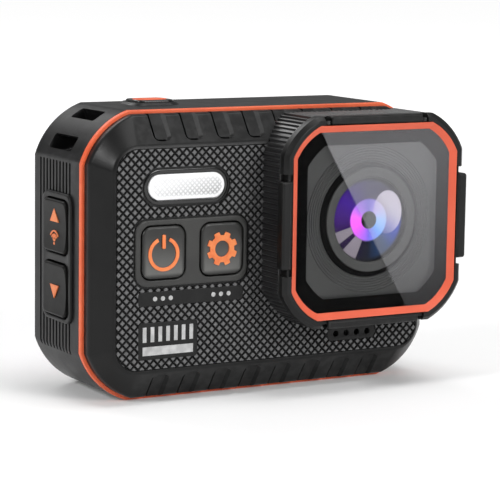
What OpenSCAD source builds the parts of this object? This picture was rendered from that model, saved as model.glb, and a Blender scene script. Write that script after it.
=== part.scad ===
// Compact action camera with a rear screen and a pull-off lens cover.
// X runs to the right seen from the front, the lens looks along -Y, Z is up.
// The origin is on the axis of the tripod thread, in the plane of the base.

/* [Body] */
// Width of the body, side to side
body_w = 69; // [66:0.5:72]
// Height of the body
body_h = 50; // [49:0.5:52]
// How far each rounded corner cut runs along the sides
corner_cut = 8.8; // [8:0.1:9.6]
// Radius of the bulge in each corner cut
corner_r = 13.8; // [12.5:0.1:15]
// Plane of the seam between front shell and seam ring
seam_y = -8; // [-8.4:0.1:-7.6]
// Thickness of the seam ring along Y
ring_t = 0.9; // [0.8:0.05:1]
// Back end of the mid housing
mid_back_y = 9.4; // [9.2:0.1:9.8]
// Plane of the back rim
back_y = 12.2; // [12.1:0.1:12.6]
// Wall thickness of the mid housing
wall = 1.8; // [1.6:0.1:2]

/* [Front] */
// Step from the seam ring in to the front shell
shell_step = 0.6; // [0.4:0.05:0.8]
// Depth of the straight wall of the front shell
shell_wall_d = 1.6; // [1.2:0.1:1.8]
// Plane of the front panel
panel_y = -13.25; // [-13.4:0.05:-13]
// Width of the knurled front panel
panel_w = 61; // [60:0.5:62]
// Height of the knurled front panel
panel_h = 37.9; // [37:0.1:39]
// Corner radius of the front panel
panel_r = 4; // [3:0.1:5]
// Thickness of the front panel
panel_t = 0.9; // [0.8:0.05:1]
// Number of slots along the top bevel, and along the bottom one
slot_count = 8; // [6:2:8]
// Distance between neighbouring bevel slots
slot_pitch = 6.1; // [5.8:0.1:6.4]
// Width of a bevel slot
slot_w = 3.4; // [3:0.1:3.8]

/* [Lens] */
// Lens axis, to the right of the middle
lens_x = 16.1; // [15.5:0.1:16.2]
// Lens axis, above the base
lens_z = 30.55; // [30.3:0.05:30.8]
// Half the width of the octagonal barrel
barrel_half = 18.4; // [18:0.1:18.6]
// Front end of the ribbed barrel
barrel_y = -19.1; // [-19.3:0.1:-19]
// Half the width of the lens cover
cover_half = 18.5; // [18.4:0.1:18.8]
// Front plane of the lens cover frame
cover_y = -21.2; // [-21.4:0.1:-21.2]
// Corner cut of the barrel and of the cover
oct_cut = 6.6; // [6:0.1:7]
// Radius of the bulge in the corners of the octagons
oct_r = 12.5; // [11:0.1:14]
// Radius of the domed front element
dome_r = 7.5; // [7:0.1:7.8]

/* [Buttons] */
// Width of the power and gear buttons
button_w = 8.2; // [8:0.1:8.4]
// Height of the power and gear buttons
button_h = 9; // [8.6:0.1:9.2]
// Gap round every button
button_gap = 0.2; // [0.15:0.05:0.25]
// Depth of a side key along Y
key_d = 8.8; // [8:0.1:9]
// Height of a side key
key_h = 9.1; // [8.6:0.1:9.2]
// How far a side key stands out of the side
key_proud = 1; // [0.8:0.1:1.2]
// Width of the shutter button
shutter_w = 7.5; // [7:0.1:7.8]
// Depth of the shutter button
shutter_d = 6; // [5.5:0.1:6.2]

/* [Screen] */
// Width of the orange ring round the screen
screen_w = 59; // [58:0.1:59.4]
// Height of the orange ring round the screen
screen_h = 43; // [42.6:0.1:43.2]
// Middle of the screen, to the right of the middle of the body
screen_x = 2.5; // [2.3:0.1:2.6]
// Width of the screen ring's band
screen_band = 0.75; // [0.6:0.05:0.9]
// Corner cut of the screen ring
screen_cut = 5.2; // [4.6:0.1:5.6]

/* [Base and port door] */
// Radius of the tripod thread
tripod_r = 3.2; // [3.1:0.05:3.3]
// Depth of the tripod thread
tripod_depth = 6; // [5:0.5:6]
// Height of the port door
door_h = 22; // [20:0.5:23]
// Depth of the port door along Y, up to its hinge axis
door_d = 10.5; // [10:0.1:10.5]

/* [Hidden] */

$fn = 48;
// Clearance that keeps a cutting shape from ending in a face of what it cuts.
cut = 0.5;

mid_z = body_h / 2;
half_w = body_w / 2;
ring_back_y = seam_y + ring_t;
shell_y = seam_y - shell_wall_d;
panel_back_y = panel_y + panel_t;
// The front shell's floor lies behind the panel.
floor_back_y = panel_back_y + 1.05;
rim = 0.3;

// Slope of the top and bottom bevels of the front shell.
bevel_rise = body_h / 2 - shell_step - panel_h / 2 - rim;
bevel_run = shell_y - panel_y;
bevel_angle = atan2(bevel_run, bevel_rise);
bevel_len = sqrt(bevel_rise * bevel_rise + bevel_run * bevel_run);
slot_depth = 0.5;
slot_stop = 1;

// Places on the front panel.
surround_x = -16.1;
surround_z = 26.1;
surround_w = 21.6;
surround_h = 11.4;
surround_y = panel_y - 0.15;
power_x = -21.6;
gear_x = -10.3;
button_z = 26.2;
button_y = surround_y - 0.2;
button_r = 1.7;
button_travel = 0.5;
flange_y = floor_back_y + 0.1;
flange_t = 0.6;
plunger_len = 1.2;
switch_y = flange_y + flange_t + plunger_len + button_travel + 0.15;
board_t = 0.8;
flash_x = -17.2;
flash_z = 37.3;
flash_w = 14.6;
flash_h = 4.4;
flash_rim = 0.8;
mic_x = 16.7;
mic_z = 9.4;
mic_pitch = 2.2;
mic_r = 0.55;
mic_count = 4;

// Lens stack, from the barrel outwards.
neck_half = 15.85;
neck_in = 15.1;
neck_y = barrel_y - 0.5;
seat_y = neck_y + 1.2;
glass_back_y = neck_y - 0.4;
glass_front_y = glass_back_y - 0.7;
skirt_in = 16;
glass_half = 16.5;
ring_out = 16.95;
ring_in = 15.6;
plate_hole_r = 9.8;
lens_ring_r = 9.4;
lens_ring_y = neck_y + 0.8;
dome_sag = 0.75;
iris_y = lens_ring_y + 0.9;
tube_r = 8.6;
groove_count = 6;
groove_pitch = 0.45;
groove_r = 12.9;
plate_proud = 0.6;
side_plate_half = 7.6;
top_plate_half = 9.4;

// Side keys.
key_y = 0.85;
up_z = 29.75;
down_z = 18.75;
side_d = 11.5;
side_h = 22.4;
side_z = 24.4;
side_proud = 0.5;
collar_margin = 0.6;
key_flange_x = -half_w + wall + 0.1;
key_switch_x = key_flange_x + 0.6 + 0.5 + 0.65;
groove_n = 10;
groove_step = 1.3;
groove_mid_y = 2.3;

// Shutter.
shutter_x = -15.7;
shutter_y = 3.7;
shutter_top = body_h + 0.85;
collar_top = body_h + 0.45;

// Strap windows: a curved channel round one corner, behind a bridge.
strap_x = -half_w + 3.35;
strap_z = body_h - 3.35;
strap_in = 1.9;
strap_out = 4.7;
strap_y0 = -2.7;
strap_y1 = 6.3;
strap_skin = 1.3;

// Screen stack.
screen_back_y = back_y - 0.9;
glass_y = back_y - 0.1;
screen_r = 10.4;
lcd_w = 54;
lcd_h = 39.6;
lcd_back_y = 8.6;
led_x = 28.6;
led_z = 42.2;
led_w = 0.93;
led_h = 2.15;

// Boards and what is on them.
board_y = 6.9;
post_x = 26.6;
post_z = 17.4;
post_r = 2.2;
screw_r = 0.8;
bush_r = 5;
bush_h = 7;

// Port door, hinged on a pin inside its rear edge.
door_t = wall;
door_z = 25;
hinge_x = half_w - wall / 2;
hinge_y = 7;
pin_r = 0.4;
pin_gap = 0.06;
door_gap = 0.1;
bay_x = 31.2;

// ---------------------------------------------------------------- helpers

// Extrudes a shape drawn in X and Z from y0 back to y1.
module slab(y0, y1) {
    translate([0, y1, 0]) rotate([90, 0, 0]) linear_extrude(y1 - y0) children();
}

// Extrudes a shape drawn in Y and Z from x0 to x1.
module side_slab(x0, x1) {
    translate([x0, 0, 0]) rotate([90, 0, 90]) linear_extrude(x1 - x0) children();
}

// A box given by its two opposite corners.
module block(low, high) {
    translate(low) cube(high - low);
}

// A rectangle with round corners, about its middle.
module rounded(w, h, r) {
    square([w, h - 2 * r], center = true);
    square([w - 2 * r, h], center = true);
    for (sx = [-1, 1], sy = [-1, 1])
        translate([sx * (w / 2 - r), sy * (h / 2 - r)]) circle(r);
}

// Distance from a side to the centre of the arc that bulges across a corner.
function arc_inset(c, r) = (c + sqrt(2 * r * r - c * c)) / 2;

// A rectangle whose corners are cut by shallow bulging arcs; inset shrinks it evenly.
module bulged(w, h, c, r, inset = 0) {
    k = arc_inset(c, r) - r;
    intersection() {
        square([w - 2 * inset, h - 2 * inset], center = true);
        rounded(w - 2 * inset - 2 * k, h - 2 * inset - 2 * k, r - inset);
    }
}

// Outline of the body, shrunk evenly.
module body_outline(inset = 0) {
    translate([0, mid_z]) bulged(body_w, body_h, corner_cut, corner_r, inset);
}

// Outline of the barrel and cover family, with the given half width.
module octagon(half) {
    inset = cover_half - half;
    translate([lens_x, lens_z])
        bulged(2 * cover_half, 2 * cover_half, oct_cut, oct_r, inset);
}

// Outline of the screen ring, shrunk evenly.
module screen_outline(inset = 0) {
    translate([screen_x, mid_z]) bulged(screen_w, screen_h, screen_cut, screen_r, inset);
}

// A cylinder along Y.
module rod_y(r, y0, y1) {
    translate([0, y1, 0]) rotate([90, 0, 0]) cylinder(r = r, h = y1 - y0);
}

// ---------------------------------------------------------------- housing

// Cylinder along Y at the strap corner.
module strap_rod(r, y0, y1) {
    translate([strap_x, 0, strap_z]) rod_y(r, y0, y1);
}

// Solid behind the strap channel, kept inside the body.
module strap_boss() {
    intersection() {
        strap_rod(strap_out + strap_skin, strap_y0 - strap_skin, strap_y1 + strap_skin);
        slab(ring_back_y, mid_back_y) body_outline();
    }
}

// The channel that a strap runs through.
module strap_channel() {
    difference() {
        strap_rod(strap_out, strap_y0, strap_y1);
        strap_rod(strap_in, strap_y0 - cut, strap_y1 + cut);
    }
}

// Posts for the case screws, each tied to the nearest side wall.
module screw_posts() {
    for (sx = [-1, 1], sz = [-1, 1])
        translate([sx * post_x, 0, mid_z + sz * post_z]) {
            rod_y(post_r, ring_back_y, board_y);
            block([min(0, sx * 5), ring_back_y, -0.6], [max(0, sx * 5), board_y, 0.6]);
        }
}

// Rails that carry the board of the side keys.
module side_rails() {
    for (z = [side_z - 12.6, side_z + 11.8])
        block([-half_w + 1, key_y - 4, z], [key_switch_x + 1.6, key_y + 4, z + 0.8]);
}

module mid_housing() {
    color([0.16, 0.16, 0.17])
    difference() {
        union() {
            slab(ring_back_y, mid_back_y) difference() {
                body_outline();
                body_outline(wall);
            }
            strap_boss();
            intersection() {
                union() {
                    screw_posts();
                    side_rails();
                }
                slab(ring_back_y, mid_back_y) body_outline(0.4);
            }
            translate([0, 0, wall - 0.3]) cylinder(r = bush_r + 1.6, h = bush_h - wall + 0.3);
        }
        strap_channel();
        translate([0, 0, -cut]) cylinder(r = bush_r, h = bush_h + 2 * cut);
        // Opening for the side keys.
        side_slab(-half_w - cut, -half_w + wall + cut)
            translate([key_y, side_z])
            rounded(side_d - 2 * collar_margin, side_h - 2 * collar_margin, 1.4);
        // Fine grooves above and below the side keys.
        for (i = [0:groove_n - 1])
            translate([-half_w, groove_mid_y + (i - (groove_n - 1) / 2) * groove_step, 24.4])
                cube([0.5, 0.4, 33.2], center = true);
        // Opening for the shutter button.
        translate([shutter_x, shutter_y, body_h - wall - cut])
            linear_extrude(wall + 2 * cut)
            rounded(shutter_w + 2 * button_gap, shutter_d + 2 * button_gap, 1.8);
        // Opening for the port door, with blind holes for its pin.
        block([half_w - wall - cut, hinge_y - door_d - door_gap, door_z - door_h / 2 - door_gap],
            [half_w + cut, hinge_y + door_t / 2 + door_gap, door_z + door_h / 2 + door_gap]);
        translate([hinge_x, hinge_y, door_z - door_h / 2 - 1.5])
            cylinder(r = pin_r, h = door_h + 3);
        for (sx = [-1, 1], sz = [-1, 1])
            translate([sx * post_x, 0, mid_z + sz * post_z])
                rod_y(screw_r, board_y - 6, board_y + cut);
    }
}

module seam_ring() {
    color([0.93, 0.42, 0.25])
    slab(seam_y, ring_back_y) difference() {
        body_outline();
        body_outline(wall + 0.6);
    }
}

module front_gasket() {
    color([0.1, 0.1, 0.1])
    slab(seam_y, ring_back_y) difference() {
        body_outline(wall + 0.6);
        body_outline(wall + 1.3);
    }
}

module tripod_bush() {
    color([0.75, 0.62, 0.35])
    difference() {
        cylinder(r = bush_r, h = bush_h);
        translate([0, 0, -cut]) cylinder(r = tripod_r, h = tripod_depth + cut);
    }
}

module case_screws() {
    color("silver")
    for (sx = [-1, 1], sz = [-1, 1])
        translate([sx * post_x, 0, mid_z + sz * post_z]) {
            rod_y(screw_r, board_y - 6, board_y + board_t);
            rod_y(1.5, board_y + board_t, board_y + board_t + 0.7);
        }
}

// ---------------------------------------------------------------- front

// The solid that the front shell is cut from: a straight wall, then bevels.
module shell_blank() {
    hull() {
        slab(shell_y, seam_y) body_outline(shell_step, $fn = 32);
        slab(panel_y, panel_y + 0.01) translate([0, mid_z])
            rounded(panel_w + 2 * rim, panel_h + 2 * rim, panel_r + rim, $fn = 32);
    }
}

// One bevel slot on the top bevel, open towards the seam ring.
module bevel_slot(x) {
    translate([x, shell_y, body_h - shell_step])
        rotate([90 - bevel_angle, 0, 0])
        translate([0, 0, -slot_depth]) linear_extrude(slot_depth + 3)
        translate([0, (3 - bevel_len + slot_stop) / 2])
        rounded(slot_w, bevel_len - slot_stop + 3, 1);
}

// All slots of the top bevel.
module bevel_slots() {
    for (i = [0:slot_count - 1])
        bevel_slot((i - (slot_count - 1) / 2) * slot_pitch);
}

// Openings that panel and shell floor share.
module front_openings(y0, y1) {
    slab(y0, y1) {
        translate([flash_x, flash_z])
            rounded(flash_w + 2 * flash_rim, flash_h + 2 * flash_rim, flash_h / 2 + flash_rim - 0.01);
        for (i = [0:mic_count - 1])
            translate([mic_x + (i - (mic_count - 1) / 2) * mic_pitch, mic_z]) circle(mic_r);
        translate([lens_x, lens_z]) circle(plate_hole_r + 0.7);
    }
}

module front_shell() {
    color([0.15, 0.15, 0.16])
    difference() {
        union() {
            difference() {
                shell_blank();
                // Inside of the shell.
                slab(floor_back_y, seam_y + cut) translate([0, mid_z])
                    rounded(panel_w - 3, panel_h - 1, panel_r - 1);
                slab(shell_y, seam_y + cut) body_outline(wall + 1.3);
                // Pocket for the front panel.
                slab(panel_y - cut, panel_back_y) translate([0, mid_z])
                    rounded(panel_w, panel_h, panel_r);
            }
            // Standoffs for the key board.
            for (x = [power_x - 5.2, gear_x + 5.2], z = [button_z - 6.4, button_z + 6.4])
                translate([x, 0, z]) rod_y(0.9, floor_back_y - 0.1, switch_y + board_t - 0.1);
            // Standoffs for the sensor board.
            for (sx = [-1, 1], sz = [-1, 1])
                translate([lens_x + sx * 10.8, 0, lens_z + sz * 10.8])
                    rod_y(0.9, floor_back_y - 0.1, seam_y);
        }
        front_openings(panel_y - cut, floor_back_y + cut);
        for (x = [power_x, gear_x])
            slab(panel_y - cut, floor_back_y + cut) translate([x, button_z])
                rounded(button_w + 2 * button_gap, button_h + 2 * button_gap, button_r + button_gap);
        bevel_slots();
        translate([0, 0, body_h]) mirror([0, 0, 1]) bevel_slots();
    }
}

module front_panel() {
    color([0.24, 0.24, 0.25])
    difference() {
        slab(panel_y, panel_back_y) translate([0, mid_z]) rounded(panel_w, panel_h, panel_r);
        front_openings(panel_y - cut, panel_back_y + cut);
        slab(panel_y - cut, panel_back_y + cut) translate([surround_x, surround_z])
            rounded(surround_w, surround_h, 2.2);
    }
}

// Plain printed marks: a row of strokes over a bar, and dots under the buttons.
module panel_marks() {
    color([0.75, 0.75, 0.75])
    slab(panel_y - 0.05, panel_y) {
        for (i = [0:6])
            translate([-25.4 + i * 1.5, 10.9]) square([0.7, 2.6]);
        translate([-25.4, 8.6]) square([9.7, 1.5]);
        for (x = [power_x, gear_x], i = [-1:1])
            translate([x + i * 1.5, 18.3]) circle(0.4);
    }
}

module mic_mesh() {
    color([0.3, 0.3, 0.32])
    slab(floor_back_y, floor_back_y + 0.2) translate([mic_x, mic_z]) rounded(9.6, 2.6, 1.2);
}

module mic_board() {
    color([0.1, 0.3, 0.2])
    slab(floor_back_y + 0.2, floor_back_y + 1) translate([mic_x, mic_z]) rounded(11, 4, 0.5);
}

module flash_lens() {
    color([0.92, 0.93, 0.95])
    union() {
        slab(panel_y - 0.3, panel_y + 0.4) translate([flash_x, flash_z])
            rounded(flash_w, flash_h, flash_h / 2 - 0.01);
        slab(panel_y + 0.4, floor_back_y) translate([flash_x, flash_z])
            rounded(flash_w + 2 * flash_rim, flash_h + 2 * flash_rim, flash_h / 2 + flash_rim - 0.01);
    }
}

module flash_board() {
    color([0.85, 0.85, 0.6])
    slab(floor_back_y, floor_back_y + board_t) translate([flash_x, flash_z]) rounded(18, 8, 1);
}

module button_surround() {
    color([0.2, 0.2, 0.21])
    difference() {
        slab(surround_y, panel_back_y) translate([surround_x, surround_z])
            rounded(surround_w, surround_h, 2.2);
        for (x = [power_x, gear_x])
            slab(surround_y - cut, panel_back_y + cut) translate([x, button_z])
                rounded(button_w + 2 * button_gap, button_h + 2 * button_gap, button_r + button_gap);
    }
}

// A front button: cap, retaining flange behind the floor, and plunger.
module front_button(x) {
    color([0.22, 0.22, 0.23])
    union() {
        slab(button_y, flange_y) translate([x, button_z]) rounded(button_w, button_h, button_r);
        slab(flange_y, flange_y + flange_t) translate([x, button_z])
            rounded(button_w + 0.8, button_h + 0.8, button_r);
        translate([x, 0, button_z]) rod_y(1.2, flange_y + flange_t, flange_y + flange_t + plunger_len);
    }
}

module power_button() {
    front_button(power_x);
}

module gear_button() {
    front_button(gear_x);
}

// Power symbol: an open ring with a bar in its gap.
module power_icon() {
    color([0.93, 0.42, 0.25])
    slab(button_y - 0.08, button_y) translate([power_x, button_z - 0.2]) {
        difference() {
            circle(2.7);
            circle(2.15);
            translate([-0.95, 0]) square([1.9, 4]);
        }
        translate([-0.28, 0.9]) square([0.56, 2.3]);
    }
}

// Gear symbol with square teeth.
module gear_icon() {
    color([0.93, 0.42, 0.25])
    slab(button_y - 0.08, button_y) translate([gear_x, button_z]) difference() {
        union() {
            circle(2.35);
            for (i = [0:7])
                rotate(22.5 + i * 45) translate([0, -0.6]) square([2.95, 1.2]);
        }
        circle(1.4);
    }
}

module key_board() {
    color([0.1, 0.3, 0.2])
    union() {
        slab(switch_y + board_t - 0.1, switch_y + 2 * board_t - 0.1)
            translate([surround_x, button_z]) rounded(24, 15, 1);
        for (x = [power_x, gear_x])
            slab(switch_y, switch_y + board_t - 0.1) translate([x, button_z])
                square([4.5, 4.5], center = true);
    }
}

// ---------------------------------------------------------------- side keys

module side_surround() {
    color([0.18, 0.18, 0.19])
    difference() {
        union() {
            side_slab(-half_w - side_proud, -half_w) translate([key_y, side_z])
                rounded(side_d, side_h, 2);
            side_slab(-half_w, -half_w + wall) translate([key_y, side_z])
                rounded(side_d - 2 * collar_margin, side_h - 2 * collar_margin, 1.4);
        }
        for (z = [up_z, down_z])
            side_slab(-half_w - side_proud - cut, -half_w + wall + cut) translate([key_y, z])
                rounded(key_d + 2 * button_gap, key_h + 2 * button_gap, 1.4);
    }
}

// A side key with a shallow dish in its face.
module side_key(z) {
    dish = 0.3;
    dish_r = (pow(key_h / 2 - 0.5, 2) + dish * dish) / (2 * dish);
    face_x = -half_w - key_proud;
    difference() {
        union() {
            side_slab(face_x, key_flange_x) translate([key_y, z])
                rounded(key_d, key_h, 1.2);
            side_slab(key_flange_x, key_flange_x + 0.6) translate([key_y, z])
                rounded(key_d + 0.8, key_h + 0.8, 1.2);
            side_slab(key_flange_x + 0.6, key_switch_x - 0.6) translate([key_y, z]) circle(1.2);
        }
        translate([face_x + dish - dish_r, key_y + key_d, z]) rotate([90, 0, 0])
            cylinder(r = dish_r, h = 2 * key_d, $fn = 96);
    }
}

// An arrow head that lies in the face of a side key; way is 1 for up and -1 for down.
module arrow(z, way) {
    side_slab(-half_w - key_proud + 0.2, -half_w - key_proud + 0.6)
        translate([key_y, z + way * 1.9])
        polygon([[-1.25, -way * 1.1], [1.25, -way * 1.1], [0, way * 1.1]]);
}

module up_key() {
    color([0.2, 0.2, 0.2])
    difference() {
        side_key(up_z);
        arrow(up_z, 1);
    }
}

module up_mark() {
    color([0.93, 0.42, 0.25]) arrow(up_z, 1);
}

module down_key() {
    color([0.2, 0.2, 0.2])
    difference() {
        side_key(down_z);
        arrow(down_z + 1.5, -1);
    }
}

module down_mark() {
    color([0.93, 0.42, 0.25]) arrow(down_z + 1.5, -1);
}

module side_key_board() {
    color([0.1, 0.3, 0.2])
    union() {
        block([key_switch_x + 0.7, key_y - 4, side_z - 11.8], [key_switch_x + 1.5, key_y + 4, side_z + 11.8]);
        for (z = [up_z, down_z])
            block([key_switch_x, key_y - 2.2, z - 2.2], [key_switch_x + 0.7, key_y + 2.2, z + 2.2]);
    }
}

// ---------------------------------------------------------------- shutter

module shutter_collar() {
    color([0.16, 0.16, 0.17])
    translate([shutter_x, shutter_y, body_h]) difference() {
        linear_extrude(collar_top - body_h) rounded(8.6, 7.2, 2.3);
        translate([0, 0, -cut]) linear_extrude(2)
            rounded(shutter_w + 2 * button_gap, shutter_d + 2 * button_gap, 1.8);
    }
}

module shutter_button() {
    inside = body_h - wall - 0.1;
    color([0.14, 0.14, 0.15])
    translate([shutter_x, shutter_y, 0]) difference() {
        union() {
            translate([0, 0, inside]) linear_extrude(shutter_top - inside)
                rounded(shutter_w, shutter_d, 1.6);
            translate([0, 0, inside - 0.6]) linear_extrude(0.6)
                rounded(shutter_w + 0.8, shutter_d + 0.8, 1.6);
            translate([0, 0, inside - 2.2]) cylinder(r = 1.2, h = 1.6);
        }
        translate([0, 0, shutter_top - 0.3]) linear_extrude(1) rounded(6.4, 4, 1.9);
    }
}

module shutter_inlay() {
    color([0.93, 0.42, 0.25])
    translate([shutter_x, shutter_y, shutter_top - 0.3]) linear_extrude(0.35) rounded(6.4, 4, 1.9);
}

module shutter_switch() {
    top = body_h - wall - 0.1 - 2.2 - 0.75;
    color([0.1, 0.3, 0.2])
    union() {
        block([shutter_x - 5, -1, top - 1.5], [shutter_x + 5, board_y, top - 0.7]);
        block([shutter_x - 2.2, shutter_y - 2.2, top - 0.7], [shutter_x + 2.2, shutter_y + 2.2, top]);
    }
}

// ---------------------------------------------------------------- lens

module lens_barrel() {
    color([0.14, 0.14, 0.15])
    difference() {
        union() {
            slab(barrel_y, seam_y) octagon(barrel_half);
            slab(neck_y, barrel_y) octagon(neck_half);
        }
        shell_blank();
        slab(neck_y - cut, seat_y) octagon(neck_in);
        slab(seat_y - cut, panel_y + cut) translate([lens_x, lens_z]) circle(13.6);
    }
}

module lens_plate() {
    color([0.3, 0.3, 0.31])
    difference() {
        slab(neck_y, seat_y) octagon(neck_in);
        slab(neck_y - cut, seat_y + cut) translate([lens_x, lens_z]) circle(plate_hole_r);
        for (i = [0:groove_count - 1])
            slab(neck_y - cut, neck_y + 0.12) translate([lens_x, lens_z]) difference() {
                circle(groove_r - i * groove_pitch);
                circle(groove_r - i * groove_pitch - 0.16);
            }
    }
}

// The ring that holds the front element, with a sloping face.
module lens_ring() {
    color([0.27, 0.28, 0.27])
    translate([lens_x, 0, lens_z]) rotate([90, 0, 0]) rotate_extrude()
        polygon([[dome_r, -lens_ring_y + 0.1], [lens_ring_r, -lens_ring_y - 0.15],
            [lens_ring_r, -seat_y - 1.2], [dome_r, -seat_y - 1.2]]);
}

// Domed front element.
module lens_front_element() {
    sphere_r = (dome_r * dome_r + dome_sag * dome_sag) / (2 * dome_sag);
    color([0.3, 0.2, 0.7])
    translate([lens_x, 0, lens_z]) intersection() {
        rod_y(dome_r, lens_ring_y - dome_sag - cut, iris_y);
        translate([0, lens_ring_y - 0.1 - dome_sag + sphere_r, 0]) sphere(r = sphere_r, $fn = 96);
    }
}

module lens_iris() {
    color([0.2, 0.3, 0.6])
    translate([lens_x, 0, lens_z]) rod_y(dome_r, iris_y, seat_y + 1.2);
}

module lens_tube() {
    color([0.1, 0.1, 0.1])
    translate([lens_x, 0, lens_z]) union() {
        rod_y(lens_ring_r, seat_y + 1.2, seat_y + 2.2);
        rod_y(tube_r, seat_y + 2.2, seam_y);
    }
}

module sensor_board() {
    color([0.1, 0.3, 0.2])
    slab(seam_y, seam_y + board_t) translate([lens_x, lens_z]) rounded(24, 24, 1.5);
}

// ---------------------------------------------------------------- lens cover

module cover_frame() {
    color([0.14, 0.14, 0.15])
    difference() {
        union() {
            slab(cover_y, barrel_y - 0.05) octagon(cover_half);
            translate([lens_x, 0, lens_z]) for (side = [-1, 1]) {
                block([min(side * 16.5, side * (cover_half + plate_proud)), cover_y - 0.3, -side_plate_half],
                    [max(side * 16.5, side * (cover_half + plate_proud)), cover_y, side_plate_half]);
                block([min(side * 17.6, side * (cover_half + plate_proud)), cover_y - 0.3, -side_plate_half],
                    [max(side * 17.6, side * (cover_half + plate_proud)), barrel_y - 0.2, side_plate_half]);
                block([-top_plate_half, cover_y - 0.15, min(side * 17.1, side * cover_half)],
                    [top_plate_half, cover_y, max(side * 17.1, side * cover_half)]);
            }
        }
        slab(cover_y - 0.01, glass_front_y) octagon(ring_out);
        slab(glass_front_y - cut, glass_back_y) octagon(glass_half);
        slab(glass_back_y - cut, barrel_y + cut) octagon(skirt_in);
        // Notches at the ends of the plates.
        translate([lens_x, 0, lens_z]) for (side = [-1, 1], end = [-1, 1]) {
            translate([side * cover_half, cover_y + 1, end * (side_plate_half + 0.55)])
                cube([1.1, 3, 0.9], center = true);
            translate([end * (top_plate_half + 0.55), cover_y + 1, side * cover_half])
                cube([0.9, 3, 1.1], center = true);
        }
    }
}

module cover_ring() {
    color([0.9, 0.4, 0.3])
    slab(cover_y + 0.05, glass_front_y) difference() {
        octagon(ring_out);
        octagon(ring_in);
    }
}

module cover_glass() {
    color([0.4, 0.4, 0.42, 0.5])
    slab(glass_front_y, glass_back_y) octagon(glass_half);
}

module cover_seal() {
    color([0.08, 0.08, 0.08])
    slab(glass_back_y, glass_back_y + 0.35) difference() {
        octagon(skirt_in);
        octagon(neck_in);
    }
}

// ---------------------------------------------------------------- back

// Outline of the knurled grip strip between the screen ring and the side.
module strip_outline(grow = 0) {
    difference() {
        intersection() {
            translate([0, mid_z]) bulged(body_w, body_h - 1.6, corner_cut, corner_r, 2.6 - grow);
            translate([-half_w, 0]) square([half_w - 22.6 + grow, body_h]);
        }
        screen_outline(-0.4 + grow);
    }
}

module back_frame() {
    color([0.15, 0.15, 0.16])
    difference() {
        hull() {
            slab(mid_back_y, mid_back_y + 1.2) body_outline($fn = 32);
            slab(back_y - 0.01, back_y) translate([0, mid_z])
                bulged(body_w - 3.8, body_h - 5.2, corner_cut - 0.6, corner_r, $fn = 32);
        }
        slab(mid_back_y - cut, back_y + cut) translate([screen_x, mid_z])
            rounded(lcd_w + 0.4, lcd_h + 0.4, 1.5);
        slab(screen_back_y, back_y + cut) screen_outline();
        slab(back_y - 0.8, back_y + cut) strip_outline();
    }
}

module back_gasket() {
    color([0.1, 0.1, 0.1])
    slab(mid_back_y - 0.6, mid_back_y) difference() {
        body_outline(wall);
        body_outline(wall + 0.8);
    }
}

module grip_strip() {
    color([0.24, 0.24, 0.25])
    slab(back_y - 0.8, back_y) strip_outline();
}

module screen_ring() {
    color([0.95, 0.5, 0.18])
    slab(screen_back_y, back_y + 0.15) difference() {
        screen_outline();
        screen_outline(screen_band);
    }
}

// Outline of the indicator window.
module led_outline() {
    translate([led_x, led_z]) rounded(led_w, led_h, led_w / 2 - 0.01);
}

module screen_glass() {
    color([0.05, 0.05, 0.08])
    difference() {
        slab(screen_back_y, glass_y) screen_outline(screen_band);
        slab(glass_y - 0.3, glass_y + cut) led_outline();
    }
}

module indicator_window() {
    color([0.2, 0.4, 0.95])
    slab(glass_y - 0.3, glass_y) led_outline();
}

module lcd_module() {
    color([0.25, 0.35, 0.6])
    slab(lcd_back_y, screen_back_y) translate([screen_x, mid_z]) rounded(lcd_w, lcd_h, 1);
}

// ---------------------------------------------------------------- inside

module main_board() {
    color([0.1, 0.3, 0.2])
    difference() {
        slab(board_y, board_y + board_t) translate([0, mid_z]) rounded(58, 40, 2);
        strap_rod(strap_out + strap_skin + 0.2, board_y - cut, board_y + 2);
        for (sx = [-1, 1], sz = [-1, 1])
            translate([sx * post_x, 0, mid_z + sz * post_z]) rod_y(screw_r, 0, board_y + 2);
    }
}

module battery_pack() {
    color([0.2, 0.35, 0.6])
    block([-15, -1.5, 9], [14, board_y, 40]);
}

module speaker() {
    color([0.2, 0.2, 0.2])
    translate([-20, 0, 12]) rod_y(4.5, 2.6, board_y);
}

module usb_socket() {
    color("silver")
    difference() {
        block([23.8, 3.7, 15.5], [bay_x, board_y, 24.5]);
        block([25, 4.05, 15.9], [bay_x + cut, 6.5, 24.1]);
    }
}

module hdmi_socket() {
    color("silver")
    difference() {
        block([24.2, 3.9, 26.6], [bay_x, board_y, 33.1]);
        block([25, 4.25, 26.95], [bay_x + cut, 6.5, 32.75]);
    }
}

module card_slot() {
    color([0.6, 0.6, 0.62])
    difference() {
        block([16.5, -1.4, 17.5], [bay_x, 0.6, 29.5]);
        block([18, -0.95, 18], [bay_x + cut, 0.15, 29]);
    }
}

// Bulkhead behind the port door, which the sockets stand in.
module port_bay() {
    color([0.1, 0.1, 0.1])
    difference() {
        block([bay_x - 1, -4.6, 12.6], [bay_x, board_y, 37.4]);
        block([bay_x - 2, 3.7, 15.5], [bay_x + 1, board_y + 1, 24.5]);
        block([bay_x - 2, 3.9, 26.6], [bay_x + 1, board_y + 1, 33.1]);
        block([bay_x - 2, -1.4, 17.5], [bay_x + 1, 0.6, 29.5]);
    }
}

// ---------------------------------------------------------------- port door

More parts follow.
